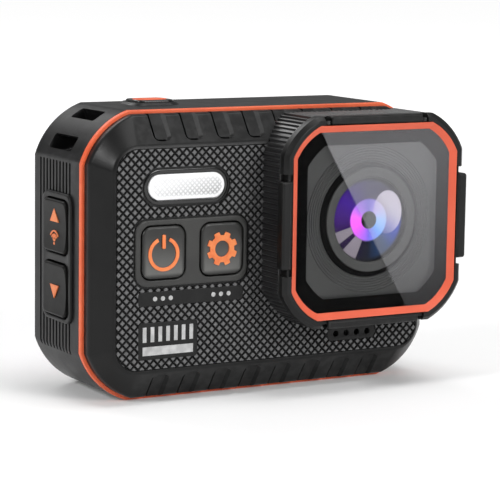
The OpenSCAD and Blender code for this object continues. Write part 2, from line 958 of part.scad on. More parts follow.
module side_door() {
    low = door_z - door_h / 2;
    color([0.16, 0.16, 0.17])
    difference() {
        union() {
            block([half_w - door_t, hinge_y - door_d, low], [half_w, hinge_y, low + door_h]);
            translate([hinge_x, hinge_y, low]) cylinder(r = door_t / 2, h = door_h);
            block([half_w - door_t - 1, hinge_y - door_d + 1.9, low + 1.9],
                [half_w - door_t, hinge_y - 2.1, low + door_h - 1.9]);
        }
        translate([hinge_x, hinge_y, low - cut]) cylinder(r = pin_r + pin_gap, h = door_h + 2 * cut);
        // Nail notch in the front edge.
        translate([half_w + 0.6, hinge_y - door_d + 1, door_z - 3]) cylinder(r = 1.2, h = 6);
    }
}

module door_seal() {
    low = door_z - door_h / 2;
    color([0.7, 0.35, 0.2])
    difference() {
        block([half_w - door_t - 0.8, hinge_y - door_d + 1.3, low + 1.3],
            [half_w - door_t, hinge_y - 1.5, low + door_h - 1.3]);
        block([half_w - door_t - 2, hinge_y - door_d + 1.9, low + 1.9],
            [half_w - door_t + 1, hinge_y - 2.1, low + door_h - 1.9]);
    }
}

module door_pin() {
    color("silver")
    translate([hinge_x, hinge_y, door_z - door_h / 2 - 1.5]) cylinder(r = pin_r, h = door_h + 3);
}

// ---------------------------------------------------------------- nodes

mid_housing();
seam_ring();
front_gasket();
front_shell();
front_panel();
panel_marks();
mic_mesh();
mic_board();
flash_lens();
flash_board();
button_surround();
power_button();
power_icon();
gear_button();
gear_icon();
key_board();
side_surround();
up_key();
up_mark();
down_key();
down_mark();
side_key_board();
shutter_collar();
shutter_button();
shutter_inlay();
shutter_switch();
lens_barrel();
lens_plate();
lens_ring();
lens_front_element();
lens_iris();
lens_tube();
sensor_board();
cover_frame();
cover_ring();
cover_glass();
cover_seal();
back_frame();
back_gasket();
grip_strip();
screen_ring();
screen_glass();
lcd_module();
indicator_window();
main_board();
battery_pack();
speaker();
usb_socket();
hdmi_socket();
card_slot();
port_bay();
side_door();
door_seal();
door_pin();
tripod_bush();
case_screws();
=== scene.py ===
"""Looks for the compact action camera.

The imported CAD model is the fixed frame. This script builds the detailed pieces that are seen
around it, dresses the CAD nodes that stay, and sets the studio. Pieces are shaped in
millimetres and brought to metres when they are placed.
"""

import logging
import math
from collections.abc import Callable, Sequence
from dataclasses import dataclass
from enum import Enum
from functools import cache

import bmesh
import bpy
from mathutils import Matrix, Vector


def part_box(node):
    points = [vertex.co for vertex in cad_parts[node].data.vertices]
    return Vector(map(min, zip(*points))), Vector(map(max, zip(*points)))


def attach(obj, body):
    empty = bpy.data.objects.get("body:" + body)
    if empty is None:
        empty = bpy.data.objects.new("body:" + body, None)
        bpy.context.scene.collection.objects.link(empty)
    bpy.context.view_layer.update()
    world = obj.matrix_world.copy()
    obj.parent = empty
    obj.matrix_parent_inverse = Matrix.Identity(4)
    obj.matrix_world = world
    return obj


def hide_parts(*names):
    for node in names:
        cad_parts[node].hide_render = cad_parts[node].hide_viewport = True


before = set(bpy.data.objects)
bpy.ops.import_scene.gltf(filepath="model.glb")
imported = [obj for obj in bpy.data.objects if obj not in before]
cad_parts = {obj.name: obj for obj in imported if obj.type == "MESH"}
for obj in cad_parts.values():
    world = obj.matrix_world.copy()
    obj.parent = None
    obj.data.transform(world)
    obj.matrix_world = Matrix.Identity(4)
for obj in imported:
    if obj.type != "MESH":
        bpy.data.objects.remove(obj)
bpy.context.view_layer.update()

LOG = logging.getLogger("action_camera")
MM = 0.001
SHARP_ANGLE = math.radians(32)
GRAIN_SCALE = 5200.0
KNURL_FLANK = 0.23
KEY_WINDOW = (10.3, 21.2, 1.4)
SHUTTER_WELL = (7.9, 6.4, 1.8)
BUTTON_HOLE = (8.6, 9.4, 1.9)
BUTTON_FACE = (8.2, 9.0)
LENS_GLASS_RADIUS = 7.5
CAP_ROUNDING = 0.42

Point = tuple[float, float]
Loop = list[Point]
Colour = tuple[float, float, float]
Solid = bmesh.types.BMesh
Socket = bpy.types.NodeSocket


# ------------------------------------------------------------------ outlines


def node_box(node: str) -> tuple[Vector, Vector]:
    """Gives a CAD node's lowest and highest corners, in millimetres."""
    low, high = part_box(node)
    return low / MM, high / MM


@dataclass(frozen=True)
class Bulged:
    """A rectangle in X and Z whose corners are cut by shallow bulging arcs.

    Attributes:
        width: Size along X.
        height: Size along Z.
        cut: How far a corner arc runs along each side.
        radius: Radius of the corner arcs.
        centre: Middle of the rectangle.
        steps: Segments in each corner arc.
    """

    width: float
    height: float
    cut: float
    radius: float
    centre: Point = (0.0, 0.0)
    steps: int = 14

    def loop(self, inset: float = 0.0) -> Loop:
        """Gives the outline's points, counter-clockwise.

        Args:
            inset: How far the outline is drawn in, evenly.

        Returns:
            The points, corner by corner.
        """
        reach = (self.cut + math.sqrt(2 * self.radius**2 - self.cut**2)) / 2
        radius = self.radius - inset
        start = math.acos(min(1.0, (reach - inset) / radius))
        return corner_arcs((self.width, self.height), reach, radius, start, self.centre, self.steps)


def corner_arcs(size: Point, reach: float, radius: float, start: float, centre: Point, steps: int) -> Loop:
    """Gives the four corner arcs of a rectangle, counter-clockwise.

    Args:
        size: Width along X and height along Z.
        reach: Distance of each arc's centre from the two nearest sides.
        radius: Radius of the arcs.
        start: Angle that each arc leaves out at either end.
        centre: Middle of the rectangle.
        steps: Segments in each arc.

    Returns:
        The points, corner by corner.
    """
    points = []
    for quarter, (sign_x, sign_z) in enumerate(((1, 1), (-1, 1), (-1, -1), (1, -1))):
        middle_x = centre[0] + sign_x * (size[0] / 2 - reach)
        middle_z = centre[1] + sign_z * (size[1] / 2 - reach)
        for step in range(steps + 1):
            angle = quarter * math.pi / 2 + start + step / steps * (math.pi / 2 - 2 * start)
            points.append((middle_x + radius * math.cos(angle), middle_z + radius * math.sin(angle)))
    return points


def rounded(width: float, height: float, radius: float, centre: Point = (0.0, 0.0), steps: int = 8) -> Loop:
    """Gives a rectangle with round corners, counter-clockwise, as X and Z points."""
    return corner_arcs((width, height), radius, radius, 0.0, centre, steps)


def circle(radius: float, centre: Point = (0.0, 0.0), steps: int = 48) -> Loop:
    """Gives a circle's points, counter-clockwise."""
    turn = 2 * math.pi / steps
    return [
        (centre[0] + radius * math.cos(i * turn), centre[1] + radius * math.sin(i * turn))
        for i in range(steps)
    ]


def evenly(loop: Loop, count: int) -> list[tuple[Vector, Vector]]:
    """Walks round a closed outline in equal steps.

    Args:
        loop: The outline.
        count: Number of steps.

    Returns:
        A point and the outward normal there, for each step.
    """
    corners = [Vector(p) for p in loop]
    edges = [(a, b) for a, b in zip(corners, corners[1:] + corners[:1]) if (b - a).length > 1e-9]
    total = sum((b - a).length for a, b in edges)
    found = []
    walked, index = 0.0, 0
    for step in range(count):
        target = total * step / count
        while walked + (edges[index][1] - edges[index][0]).length < target:
            walked += (edges[index][1] - edges[index][0]).length
            index += 1
        a, b = edges[index]
        way = (b - a).normalized()
        found.append((a + way * (target - walked), Vector((way.y, -way.x))))
    return found


# ------------------------------------------------------------------ shaping


class Turn(Enum):
    """Where a piece that was shaped facing the front is turned to: quarter turns and their axis."""

    LEFT = (-1, "Z")
    TOP = (-1, "X")
    BACK = (2, "Z")

    def matrix(self) -> Matrix:
        """Gives the turn about the origin; the piece's front, -Y, ends up facing the named way."""
        quarters, axis = self.value
        return Matrix.Rotation(quarters * math.pi / 2, 4, axis)


def edge_ring(mesh: Solid, loop: Loop, y: float) -> list[bmesh.types.BMEdge]:
    """Draws a closed outline as edges in a plane across Y."""
    verts = [mesh.verts.new((x, y, z)) for x, z in loop]
    return [mesh.edges.new((a, b)) for a, b in zip(verts, verts[1:] + verts[:1])]


def plate(outer: Loop, holes: Sequence[Loop], front: float, back: float) -> Solid:
    """Makes a flat plate with holes, facing -Y.

    Args:
        outer: The plate's outline.
        holes: Outlines of the holes.
        front: Y of the front face.
        back: Y of the back face.

    Returns:
        A closed solid.
    """
    mesh = bmesh.new()
    rings = [edge_ring(mesh, loop, front) for loop in (outer, *holes)]
    edges = [edge for ring in rings for edge in ring]
    if holes:
        bmesh.ops.triangle_fill(mesh, use_beauty=True, use_dissolve=False, edges=edges, normal=(0, -1, 0))
    else:
        bmesh.ops.contextual_create(mesh, geom=edges)
    thick = bmesh.ops.extrude_face_region(mesh, geom=mesh.faces[:])
    moved = [v for v in thick["geom"] if isinstance(v, bmesh.types.BMVert)]
    bmesh.ops.translate(mesh, verts=moved, vec=(0, back - front, 0))
    bmesh.ops.recalc_face_normals(mesh, faces=mesh.faces[:])
    return mesh


def loft(loops: Sequence[tuple[float, Loop]], closed_ring: bool = False) -> Solid:
    """Draws a skin through outlines that have the same number of points.

    Args:
        loops: Y and outline of each section, in order.
        closed_ring: True joins the last section to the first, for a band; otherwise both ends
            are capped.

    Returns:
        A closed solid.
    """
    mesh = bmesh.new()
    first = edge_ring(mesh, loops[0][1], loops[0][0])
    current = first
    ring = [edge.verts[0] for edge in first]
    start = list(ring)
    for y, loop in loops[1:]:
        grown = bmesh.ops.extrude_edge_only(mesh, edges=current)
        current = [e for e in grown["geom"] if isinstance(e, bmesh.types.BMEdge) and e.is_boundary]
        fresh = {v for v in grown["geom"] if isinstance(v, bmesh.types.BMVert)}
        ring = [next(e.other_vert(v) for e in v.link_edges if e.other_vert(v) in fresh) for v in ring]
        for vert, (x, z) in zip(ring, loop):
            vert.co = (x, y, z)
    if closed_ring:
        bmesh.ops.bridge_loops(mesh, edges=current + first)
    else:
        bmesh.ops.contextual_create(mesh, geom=current)
        opening = [edge for edge in mesh.edges if edge.is_boundary and edge.verts[0] in start]
        bmesh.ops.contextual_create(mesh, geom=opening)
    bmesh.ops.recalc_face_normals(mesh, faces=mesh.faces[:])
    return mesh


def turned(profile: Sequence[Point], centre: Point, steps: int = 96) -> Solid:
    """Spins a profile round an axis along Y.

    Args:
        profile: Radius and Y of each point; a radius of 0 lies on the axis.
        centre: X and Z of the axis.
        steps: Segments in the full turn.

    Returns:
        The spun skin.
    """
    mesh = bmesh.new()
    verts = [mesh.verts.new((centre[0] + radius, y, centre[1])) for radius, y in profile]
    edges = [mesh.edges.new(pair) for pair in zip(verts, verts[1:])]
    bmesh.ops.spin(
        mesh, geom=verts + edges, cent=(centre[0], 0, centre[1]), axis=(0, 1, 0), angle=2 * math.pi,
        steps=steps, use_merge=True,
    )
    bmesh.ops.remove_doubles(mesh, verts=mesh.verts[:], dist=1e-4)
    bmesh.ops.recalc_face_normals(mesh, faces=mesh.faces[:])
    return mesh


def soften(mesh: Solid, width: float, segments: int = 3, where: Callable | None = None) -> None:
    """Rounds a solid's sharp edges.

    Args:
        mesh: The solid.
        width: Width of the rounding.
        segments: Segments across it.
        where: Takes an edge's middle and says whether to round it; every sharp edge if left out.
    """
    chosen = []
    for edge in mesh.edges:
        if len(edge.link_faces) == 2 and edge.calc_face_angle(0) > SHARP_ANGLE:
            middle = (edge.verts[0].co + edge.verts[1].co) / 2
            if where is None or where(middle):
                chosen.append(edge)
    bmesh.ops.bevel(
        mesh, geom=chosen, offset=width, offset_type="OFFSET", segments=segments, profile=0.5,
        affect="EDGES", clamp_overlap=True, material=-1,
    )


def box_solid(low: Sequence[float], high: Sequence[float], round_by: float = 0.0) -> Solid:
    """Makes a box between two corners, with rounded edges if asked."""
    mesh = bmesh.new()
    bmesh.ops.create_cube(mesh, size=1)
    size = [h - l for l, h in zip(low, high)]
    bmesh.ops.scale(mesh, verts=mesh.verts[:], vec=size)
    bmesh.ops.translate(mesh, verts=mesh.verts[:], vec=[(l + h) / 2 for l, h in zip(low, high)])
    if round_by:
        soften(mesh, round_by, 2)
    return mesh


def upright(radius: float, height: float, centre: Sequence[float], segments: int) -> Solid:
    """Makes an upright cylinder about a point."""
    mesh = bmesh.new()
    bmesh.ops.create_cone(
        mesh, cap_ends=True, segments=segments, radius1=radius, radius2=radius, depth=height,
        matrix=Matrix.Translation(centre),
    )
    return mesh


def move(mesh: Solid, matrix: Matrix) -> Solid:
    """Turns and moves a whole bmesh, and returns it."""
    bmesh.ops.transform(mesh, matrix=matrix, verts=mesh.verts[:])
    return mesh


class Blank:
    """A piece in the making, in millimetres, until it is placed on its body."""

    def __init__(self, name: str, *meshes: Solid) -> None:
        """Joins the given solids into one blank.

        Args:
            name: The piece's name.
            *meshes: Its solids; they are used up.
        """
        data = bpy.data.meshes.new(name)
        whole = bmesh.new()
        for mesh in meshes:
            part = bpy.data.meshes.new("part")
            mesh.to_mesh(part)
            mesh.free()
            whole.from_mesh(part)
            bpy.data.meshes.remove(part)
        whole.to_mesh(data)
        whole.free()
        self.name = name
        self.object = bpy.data.objects.new(name, data)
        bpy.context.scene.collection.objects.link(self.object)

    def apply(self) -> None:
        """Applies the blank's modifiers to its mesh."""
        graph = bpy.context.evaluated_depsgraph_get()
        old = self.object.data
        fresh = bpy.data.meshes.new_from_object(self.object.evaluated_get(graph), depsgraph=graph)
        self.object.modifiers.clear()
        self.object.data = fresh
        bpy.data.meshes.remove(old)

    def carve(self, *tools: "Blank", operation: str = "DIFFERENCE", solver: str = "EXACT") -> "Blank":
        """Cuts the blank with other blanks, which are used up.

        Args:
            *tools: The cutting blanks.
            operation: DIFFERENCE, INTERSECT or UNION.
            solver: Boolean solver.

        Returns:
            The blank itself.
        """
        for tool in tools:
            cutter = self.object.modifiers.new("cut", "BOOLEAN")
            cutter.operation = operation
            cutter.solver = solver
            cutter.object = tool.object
            self.apply()
            bpy.data.objects.remove(tool.object)
        return self

    def round_edges(self, width: float, angle: float = 35.0) -> None:
        """Rounds every edge sharper than the angle, in degrees."""
        rounding = self.object.modifiers.new("round", "BEVEL")
        rounding.width = width
        rounding.segments = 2
        rounding.limit_method = "ANGLE"
        rounding.angle_limit = math.radians(angle)
        rounding.use_clamp_overlap = True
        rounding.miter_outer = "MITER_ARC"
        self.apply()

    def place(
        self, finish: "Finish", slot: str, *stands_for: str, body: str = "camera_body",
        turn: Turn | None = None, smooth: bool = True,
    ) -> None:
        """Brings the piece to metres and fixes it to its body.

        Args:
            finish: Its finish.
            slot: The record's material slot; not used.
            *stands_for: CAD nodes that it replaces.
            body: The CAD body it rides on.
            turn: A last turn about the origin.
            smooth: False keeps flat facets.
        """
        data = self.object.data
        if turn:
            data.transform(turn.matrix())
        data.transform(Matrix.Scale(MM, 4))
        data.materials.clear()
        data.materials.append(finish.material())
        if smooth:
            data.shade_smooth()
            data.set_sharp_from_angle(angle=SHARP_ANGLE)
        else:
            data.shade_flat()
        weighted = self.object.modifiers.new("normals", "WEIGHTED_NORMAL")
        weighted.keep_sharp = True
        weighted.weight = 60
        self.apply()
        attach(self.object, body)
        if stands_for:
            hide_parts(*stands_for)
        LOG.info("%s: %d faces on %s", self.name, len(self.object.data.polygons), body)


# ------------------------------------------------------------------ finishes


class Value:
    """A socket of one material that is added, scaled and compared like a number."""

    def __init__(self, nodes: "Nodes", socket: Socket) -> None:
        """Keeps the socket and the material it belongs to."""
        self.nodes = nodes
        self.socket = socket

    def __add__(self, other: object) -> "Value":
        """Adds a value or a number."""
        return self.nodes.maths("ADD", self, other)

    def __sub__(self, other: object) -> "Value":
        """Takes a value or a number away."""
        return self.nodes.maths("SUBTRACT", self, other)

    def __rsub__(self, other: float) -> "Value":
        """Takes this value away from a number."""
        return self.nodes.maths("SUBTRACT", other, self)

    def __mul__(self, other: object) -> "Value":
        """Multiplies by a value or a number."""
        return self.nodes.maths("MULTIPLY", self, other)

    def __truediv__(self, other: object) -> "Value":
        """Divides by a value or a number."""
        return self.nodes.maths("DIVIDE", self, other)

    def __pow__(self, other: float) -> "Value":
        """Raises to a power."""
        return self.nodes.maths("POWER", self, other)

    def __abs__(self) -> "Value":
        """Drops the sign."""
        return self.nodes.maths("ABSOLUTE", self)


class Nodes:
    """A short way to write one material's nodes."""

    def __init__(self, name: str) -> None:
        """Starts a material with only its shader and output."""
        self.material = bpy.data.materials.new(name)
        self.material.use_nodes = True
        self.tree = self.material.node_tree
        self.shader = self.tree.nodes["Principled BSDF"]
        self.place = self.tree.nodes.new("ShaderNodeTexCoord").outputs["Object"]

    def add(self, kind: str, inputs: dict | None = None, **settings: object) -> bpy.types.Node:
        """Adds a node, sets its properties, and links or sets its inputs."""
        node = self.tree.nodes.new(kind)
        for key, value in settings.items():
            setattr(node, key, value)
        for key, value in (inputs or {}).items():
            self.feed(node.inputs[key], value)
        return node

    def feed(self, socket: Socket, value: object) -> None:
        """Links an output to a socket, or sets the socket's value."""
        if isinstance(value, Value):
            self.tree.links.new(value.socket, socket)
        elif isinstance(value, Socket):
            self.tree.links.new(value, socket)
        elif isinstance(value, tuple) and len(value) == 3 and socket.type == "RGBA":
            socket.default_value = (*value, 1.0)
        else:
            socket.default_value = value

    def maths(self, operation: str, *values: object, clamp: bool = False) -> Value:
        """Adds a Math node and returns its output."""
        inputs = dict(enumerate(values))
        node = self.add("ShaderNodeMath", inputs, operation=operation, use_clamp=clamp)
        return Value(self, node.outputs[0])

    def noise(self, scale: float, detail: float = 2.0, rough: float = 0.5, at: Socket | None = None) -> Value:
        """Adds a noise texture, by default on the object's own coordinates."""
        inputs = {"Vector": at or self.place, "Scale": scale, "Detail": detail, "Roughness": rough}
        return Value(self, self.add("ShaderNodeTexNoise", inputs).outputs["Fac"])

    def ramp(self, value: object, *stops: tuple[float, Colour]) -> Value:
        """Adds a colour ramp and returns its colour."""
        node = self.add("ShaderNodeValToRGB", {"Fac": value})
        elements = node.color_ramp.elements
        while len(elements) < len(stops):
            elements.new(0.5)
        for element, (position, colour) in zip(elements, stops):
            element.position = position
            element.color = (*colour, 1.0)
        return Value(self, node.outputs["Color"])

    def span(self, value: object, low: float, high: float, to_low: float = 0.0, to_high: float = 1.0,
             smooth: bool = False) -> Value:
        """Maps a stretch of values to another, clamped."""
        node = self.add("ShaderNodeMapRange", {"Value": value})
        node.interpolation_type = "SMOOTHSTEP" if smooth else "LINEAR"
        for key, number in (("From Min", low), ("From Max", high), ("To Min", to_low), ("To Max", to_high)):
            node.inputs[key].default_value = number
        return Value(self, node.outputs["Result"])

    def mix(self, share: object, first: object, second: object) -> Value:
        """Mixes two colours."""
        node = self.add("ShaderNodeMix", data_type="RGBA")
        for index, value in ((0, share), (6, first), (7, second)):
            self.feed(node.inputs[index], value)
        return Value(self, node.outputs[2])

    def bump(self, height: object, distance: float, strength: float = 1.0) -> None:
        """Adds a bump to the shader's normal."""
        node = self.add("ShaderNodeBump", {"Height": height, "Distance": distance, "Strength": strength})
        self.feed(self.shader.inputs["Normal"], node.outputs["Normal"])

    def split(self) -> tuple[Value, Value, Value]:
        """Gives the object's X, Y and Z coordinates, in metres."""
        node = self.add("ShaderNodeSeparateXYZ", {0: self.place})
        x, y, z = (Value(self, socket) for socket in node.outputs)
        return x, y, z

    def vector(self, *parts: object) -> Socket:
        """Joins up to three values into a vector."""
        return self.add("ShaderNodeCombineXYZ", dict(enumerate(parts))).outputs[0]

    def far(self, across: Value, up: Value) -> Value:
        """Gives the distance from the point where both values are 0."""
        return self.maths("SQRT", across**2 + up**2)

    def set(self, **values: object) -> None:
        """Sets the shader's sockets by name, with _ for a space."""
        for key, value in values.items():
            self.feed(self.shader.inputs[key.replace("_", " ")], value)


@dataclass(frozen=True)
class Finish:
    """A finish, whose material is made when it is first used.

    Attributes:
        name: Name of the material.
    """

    name: str

    @cache
    def material(self) -> bpy.types.Material:
        """Gives the material."""
        nodes = Nodes(self.name)
        self.write(nodes)
        return nodes.material

    def write(self, nodes: Nodes) -> None:
        """Writes the finish's own nodes."""
        raise NotImplementedError


@dataclass(frozen=True)
class Plastic(Finish):
    """A moulded plastic with a fine grain, slight mottling and rubbed edges that double as a painted edge
    highlight.

    Attributes:
        dark: Its darker tone.
        light: Its lighter tone.
        rough: Lowest and highest roughness.
        grain: Depth of the moulded grain, in metres.
        wear_and_highlight: Tone of rubbed edges, which also serve as a painted highlight on convex edges.
        gleam: Strength of its reflections.
    """

    dark: Colour
    light: Colour
    rough: tuple[float, float] = (0.38, 0.52)
    grain: float = 0.00002
    wear_and_highlight: float = 0.25
    gleam: float = 0.3

    def write(self, nodes: Nodes) -> None:
        """Writes the finish's own nodes."""
        cloud = nodes.noise(90.0, 4.0)
        tone = nodes.mix(nodes.span(cloud, 0.35, 0.65), self.dark, self.light)
        # Rubbed edges: wear on convex edges, and also a painted highlight along them.
        edge = nodes.span(nodes.add("ShaderNodeNewGeometry").outputs["Pointiness"], 0.53, 0.62)
        rub_and_highlight = edge * nodes.span(nodes.noise(700.0, 3.0), 0.4, 0.65, 0.0, self.wear_and_highlight)
        brighter = tuple(min(1.0, c * 2.2 + 0.03) for c in self.light)
        rough = nodes.span(nodes.noise(260.0, 5.0), 0.3, 0.7, *self.rough)
        nodes.set(Base_Color=nodes.mix(rub_and_highlight, tone, brighter), Roughness=rough, Specular_IOR_Level=self.gleam)
        if self.grain:
            nodes.bump(nodes.noise(GRAIN_SCALE, 2.0, 0.6), self.grain, 0.5)


@dataclass(frozen=True)
class Knurl(Finish):
    """A knurled plastic with painted light: painted shade at the bottom of the grooves and a painted sheen on
    the diamonds' tops.

    Attributes:
        groove: Colour of the painted shade at the bottom of the grooves.
        top: Colour of the painted sheen on the diamonds' tops.
        low: Y of the groove bottoms, in metres.
        high: Y of the tops, in metres.
    """

    groove: Colour
    top: Colour
    low: float
    high: float

    def write(self, nodes: Nodes) -> None:
        """Writes the finish's own nodes."""
        _, depth, _ = nodes.split()
        height = nodes.span(depth, self.low, self.high)
        # Painted shade in the grooves, painted sheen on the tops, by depth.
        tone = nodes.mix(height ** 5.0, self.groove, self.top)
        mottled = nodes.mix(nodes.span(nodes.noise(900.0, 3.0), 0.3, 0.7, 0.0, 0.35), tone, self.groove)
        nodes.set(Base_Color=mottled, Roughness=nodes.span(nodes.noise(500.0, 4.0), 0.3, 0.7, 0.42, 0.6))
        nodes.bump(nodes.noise(6500.0, 2.0), 0.00002, 0.5)


@dataclass(frozen=True)
class Metal(Finish):
    """A metal with fine drawn lines and uneven polish."""

    colour: Colour
    rough: tuple[float, float] = (0.22, 0.4)

    def write(self, nodes: Nodes) -> None:
        """Writes the finish's own nodes."""
        lines = nodes.add("ShaderNodeMapping", {"Vector": nodes.place, "Scale": (400.0, 9000.0, 400.0)})
        drawn = nodes.noise(1.0, 3.0, 0.6, lines.outputs["Vector"])
        darker = tuple(c * 0.75 for c in self.colour)
        nodes.set(
            Base_Color=nodes.mix(nodes.span(drawn, 0.35, 0.65), darker, self.colour),
            Metallic=1.0,
            Roughness=nodes.span(nodes.noise(400.0, 4.0), 0.3, 0.7, *self.rough),
        )
        nodes.bump(drawn, 0.00001, 0.4)


@dataclass(frozen=True)
class Board(Finish):
    """A circuit board: green solder mask over faint tracks, with tinned pads."""

    def write(self, nodes: Nodes) -> None:
        """Writes the finish's own nodes."""
        cells = nodes.add(
            "ShaderNodeTexVoronoi", {"Vector": nodes.place, "Scale": 700.0},
            feature="DISTANCE_TO_EDGE", distance="MANHATTAN",
        ).outputs["Distance"]
        track = nodes.span(cells, 0.03, 0.07)
        mask = nodes.mix(track, (0.03, 0.2, 0.1), (0.008, 0.075, 0.04))
        dots = nodes.add("ShaderNodeTexVoronoi", {"Vector": nodes.place, "Scale": 420.0}).outputs["Distance"]
        pad = nodes.span(dots, 0.2, 0.16)
        nodes.set(
            Base_Color=nodes.mix(pad, mask, (0.55, 0.52, 0.45)),
            Metallic=pad * 0.8,
            Roughness=nodes.span(nodes.noise(300.0, 3.0), 0.3, 0.7, 0.25, 0.4),
        )
        nodes.bump(track, 0.00003, 0.6)


# ------------------------------------------------------------------ shared outlines


MID_LOW, MID_HIGH = node_box("mid_housing")
PANEL_LOW, PANEL_HIGH = node_box("front_panel")
GLASS_LOW, GLASS_HIGH = node_box("cover_glass")
COVER_LOW, COVER_HIGH = node_box("cover_frame")
BARREL_LOW, BARREL_HIGH = node_box("lens_barrel")
RING_LOW, RING_HIGH = node_box("screen_ring")

MIDDLE_Z = (MID_LOW.z + MID_HIGH.z) / 2
BODY = Bulged(MID_HIGH.x - MID_LOW.x, MID_HIGH.z - MID_LOW.z, 8.8, 13.8, (0.0, MIDDLE_Z))
SCREEN = Bulged(
    RING_HIGH.x - RING_LOW.x, RING_HIGH.z - RING_LOW.z, 5.2, 10.4, ((RING_LOW.x + RING_HIGH.x) / 2, MIDDLE_Z)
)
LENS: Point = ((GLASS_LOW.x + GLASS_HIGH.x) / 2, (GLASS_LOW.z + GLASS_HIGH.z) / 2)
OCTAGON_HALF = 18.5
OCTAGON = Bulged(2 * OCTAGON_HALF, 2 * OCTAGON_HALF, 6.6, 12.5, LENS)


def octagon(half: float) -> Loop:
    """Gives the octagon of the barrel and cover family with a given half width."""
    return OCTAGON.loop(OCTAGON_HALF - half)


def middle(node: str) -> Vector:
    """Gives the middle of a CAD node's box, in millimetres."""
    low, high = node_box(node)
    return (low + high) / 2


def face_middle(node: str) -> Point:
    """Gives the X and Z of a CAD node's middle, in millimetres."""
    spot = middle(node)
    return spot.x, spot.z


def knurled_slab(size: float, pitch: float, centre: Point, top: float, depth: float, thick: float) -> Solid:
    """Makes a square slab of diamond knurling that faces -Y.

    Args:
        size: Side of the square.
        pitch: Distance between neighbouring grooves.
        centre: X and Z of its middle.
        top: Y of the diamonds' tops.
        depth: Depth of the grooves.
        thick: Thickness below the grooves.

    Returns:
        A closed solid.
    """
    cells = math.ceil(size / pitch)
    mesh = bmesh.new()
    bmesh.ops.create_grid(mesh, x_segments=cells, y_segments=cells, size=cells * pitch / 2)
    bmesh.ops.inset_individual(
        mesh, faces=mesh.faces[:], thickness=pitch * KNURL_FLANK, depth=depth, use_even_offset=True
    )
    rim = [edge for edge in mesh.edges if edge.is_boundary]
    grown = bmesh.ops.extrude_edge_only(mesh, edges=rim)
    fresh = [v for v in grown["geom"] if isinstance(v, bmesh.types.BMVert)]
    bmesh.ops.translate(mesh, verts=fresh, vec=(0, 0, -thick))
    bmesh.ops.contextual_create(mesh, geom=[edge for edge in mesh.edges if edge.is_boundary])
    bmesh.ops.recalc_face_normals(mesh, faces=mesh.faces[:])
    place = (
        Matrix.Translation((centre[0], top + depth, centre[1]))
        @ Matrix.Rotation(math.pi / 2, 4, "X")
        @ Matrix.Rotation(math.pi / 4, 4, "Z")
    )
    return move(mesh, place)


def dished_cap(name: str, size: Point, radius: float, centre: Point, face: float, root: float, dish: float,
               hollow: bool = True) -> Blank:
    """Makes a key cap with round edges and a shallow dish in its face, facing -Y.

    Args:
        name: The piece's name.
        size: Width along X and height along Z.
        radius: Corner radius.
        centre: Middle of the cap.
        face: Y of the cap's rim.
        root: Y of its inner end.
        dish: Depth of the dish.
        hollow: True for a round dish, False for one that is curved only from top to bottom.

    Returns:
        The cap.
    """
    cap = plate(rounded(*size, radius, centre), [], face, root)
    soften(cap, CAP_ROUNDING, 4, lambda spot: spot.y < face + 0.1)
    reach = size[1] / 2 - 0.35
    bend = (reach**2 + dish**2) / (2 * dish)
    outer = 2.2 * reach
    floor = face + dish - bend
    if hollow:
        steps = [outer * i / 24 for i in range(25)]
        profile = [(step, floor + math.sqrt(bend**2 - step**2)) for step in steps]
        tool = turned([*profile, (outer, face - 3), (0.0, face - 3)], centre, 72)
    else:
        steps = [outer * (i / 24 - 1) for i in range(49)]
        loop = [(floor + math.sqrt(bend**2 - z**2), z + centre[1]) for z in steps]
        loop += [(face - 3, centre[1] + outer), (face - 3, centre[1] - outer)]
        tool = plate(loop, [], -centre[0] - outer, -centre[0] + outer)
        move(tool, Matrix.Scale(-1, 4, (1, 0, 0)) @ Matrix.Rotation(math.pi / 2, 4, "Z"))
        bmesh.ops.recalc_face_normals(tool, faces=tool.faces[:])
    return Blank(name, cap).carve(Blank("dish", tool))


def arc(radius: float, start: float, end: float, centre: Point, steps: int) -> Loop:
    """Gives an arc's points, with angles in degrees from +X towards +Z."""
    angles = [math.radians(start + (end - start) * i / steps) for i in range(steps + 1)]
    return [(centre[0] + radius * math.cos(a), centre[1] + radius * math.sin(a)) for a in angles]


def arc_band(inner: float, outer: float, start: float, end: float, centre: Point, steps: int = 32) -> Loop:
    """Gives the outline of an arc-shaped band."""
    return arc(outer, start, end, centre, steps) + arc(inner, start, end, centre, steps)[::-1]


def gear_outline(tip: float, root: float, teeth: int, centre: Point) -> Loop:
    """Gives the outline of a gear symbol with blunt teeth."""
    points = []
    for tooth in range(teeth):
        middle_angle = (tooth + 0.5) * 360 / teeth
        for offset, radius in ((-14, root), (-10, tip), (0, tip), (10, tip), (14, root), (22.5, root)):
            angle = math.radians(middle_angle + offset)
            points.append((centre[0] + radius * math.cos(angle), centre[1] + radius * math.sin(angle)))
    return points


# ------------------------------------------------------------------ the plain finishes


FINE = 0.00001
DIM, MATT, SATIN, RUBBED = (0.32, 0.4), (0.4, 0.5), (0.3, 0.42), (0.28, 0.36)

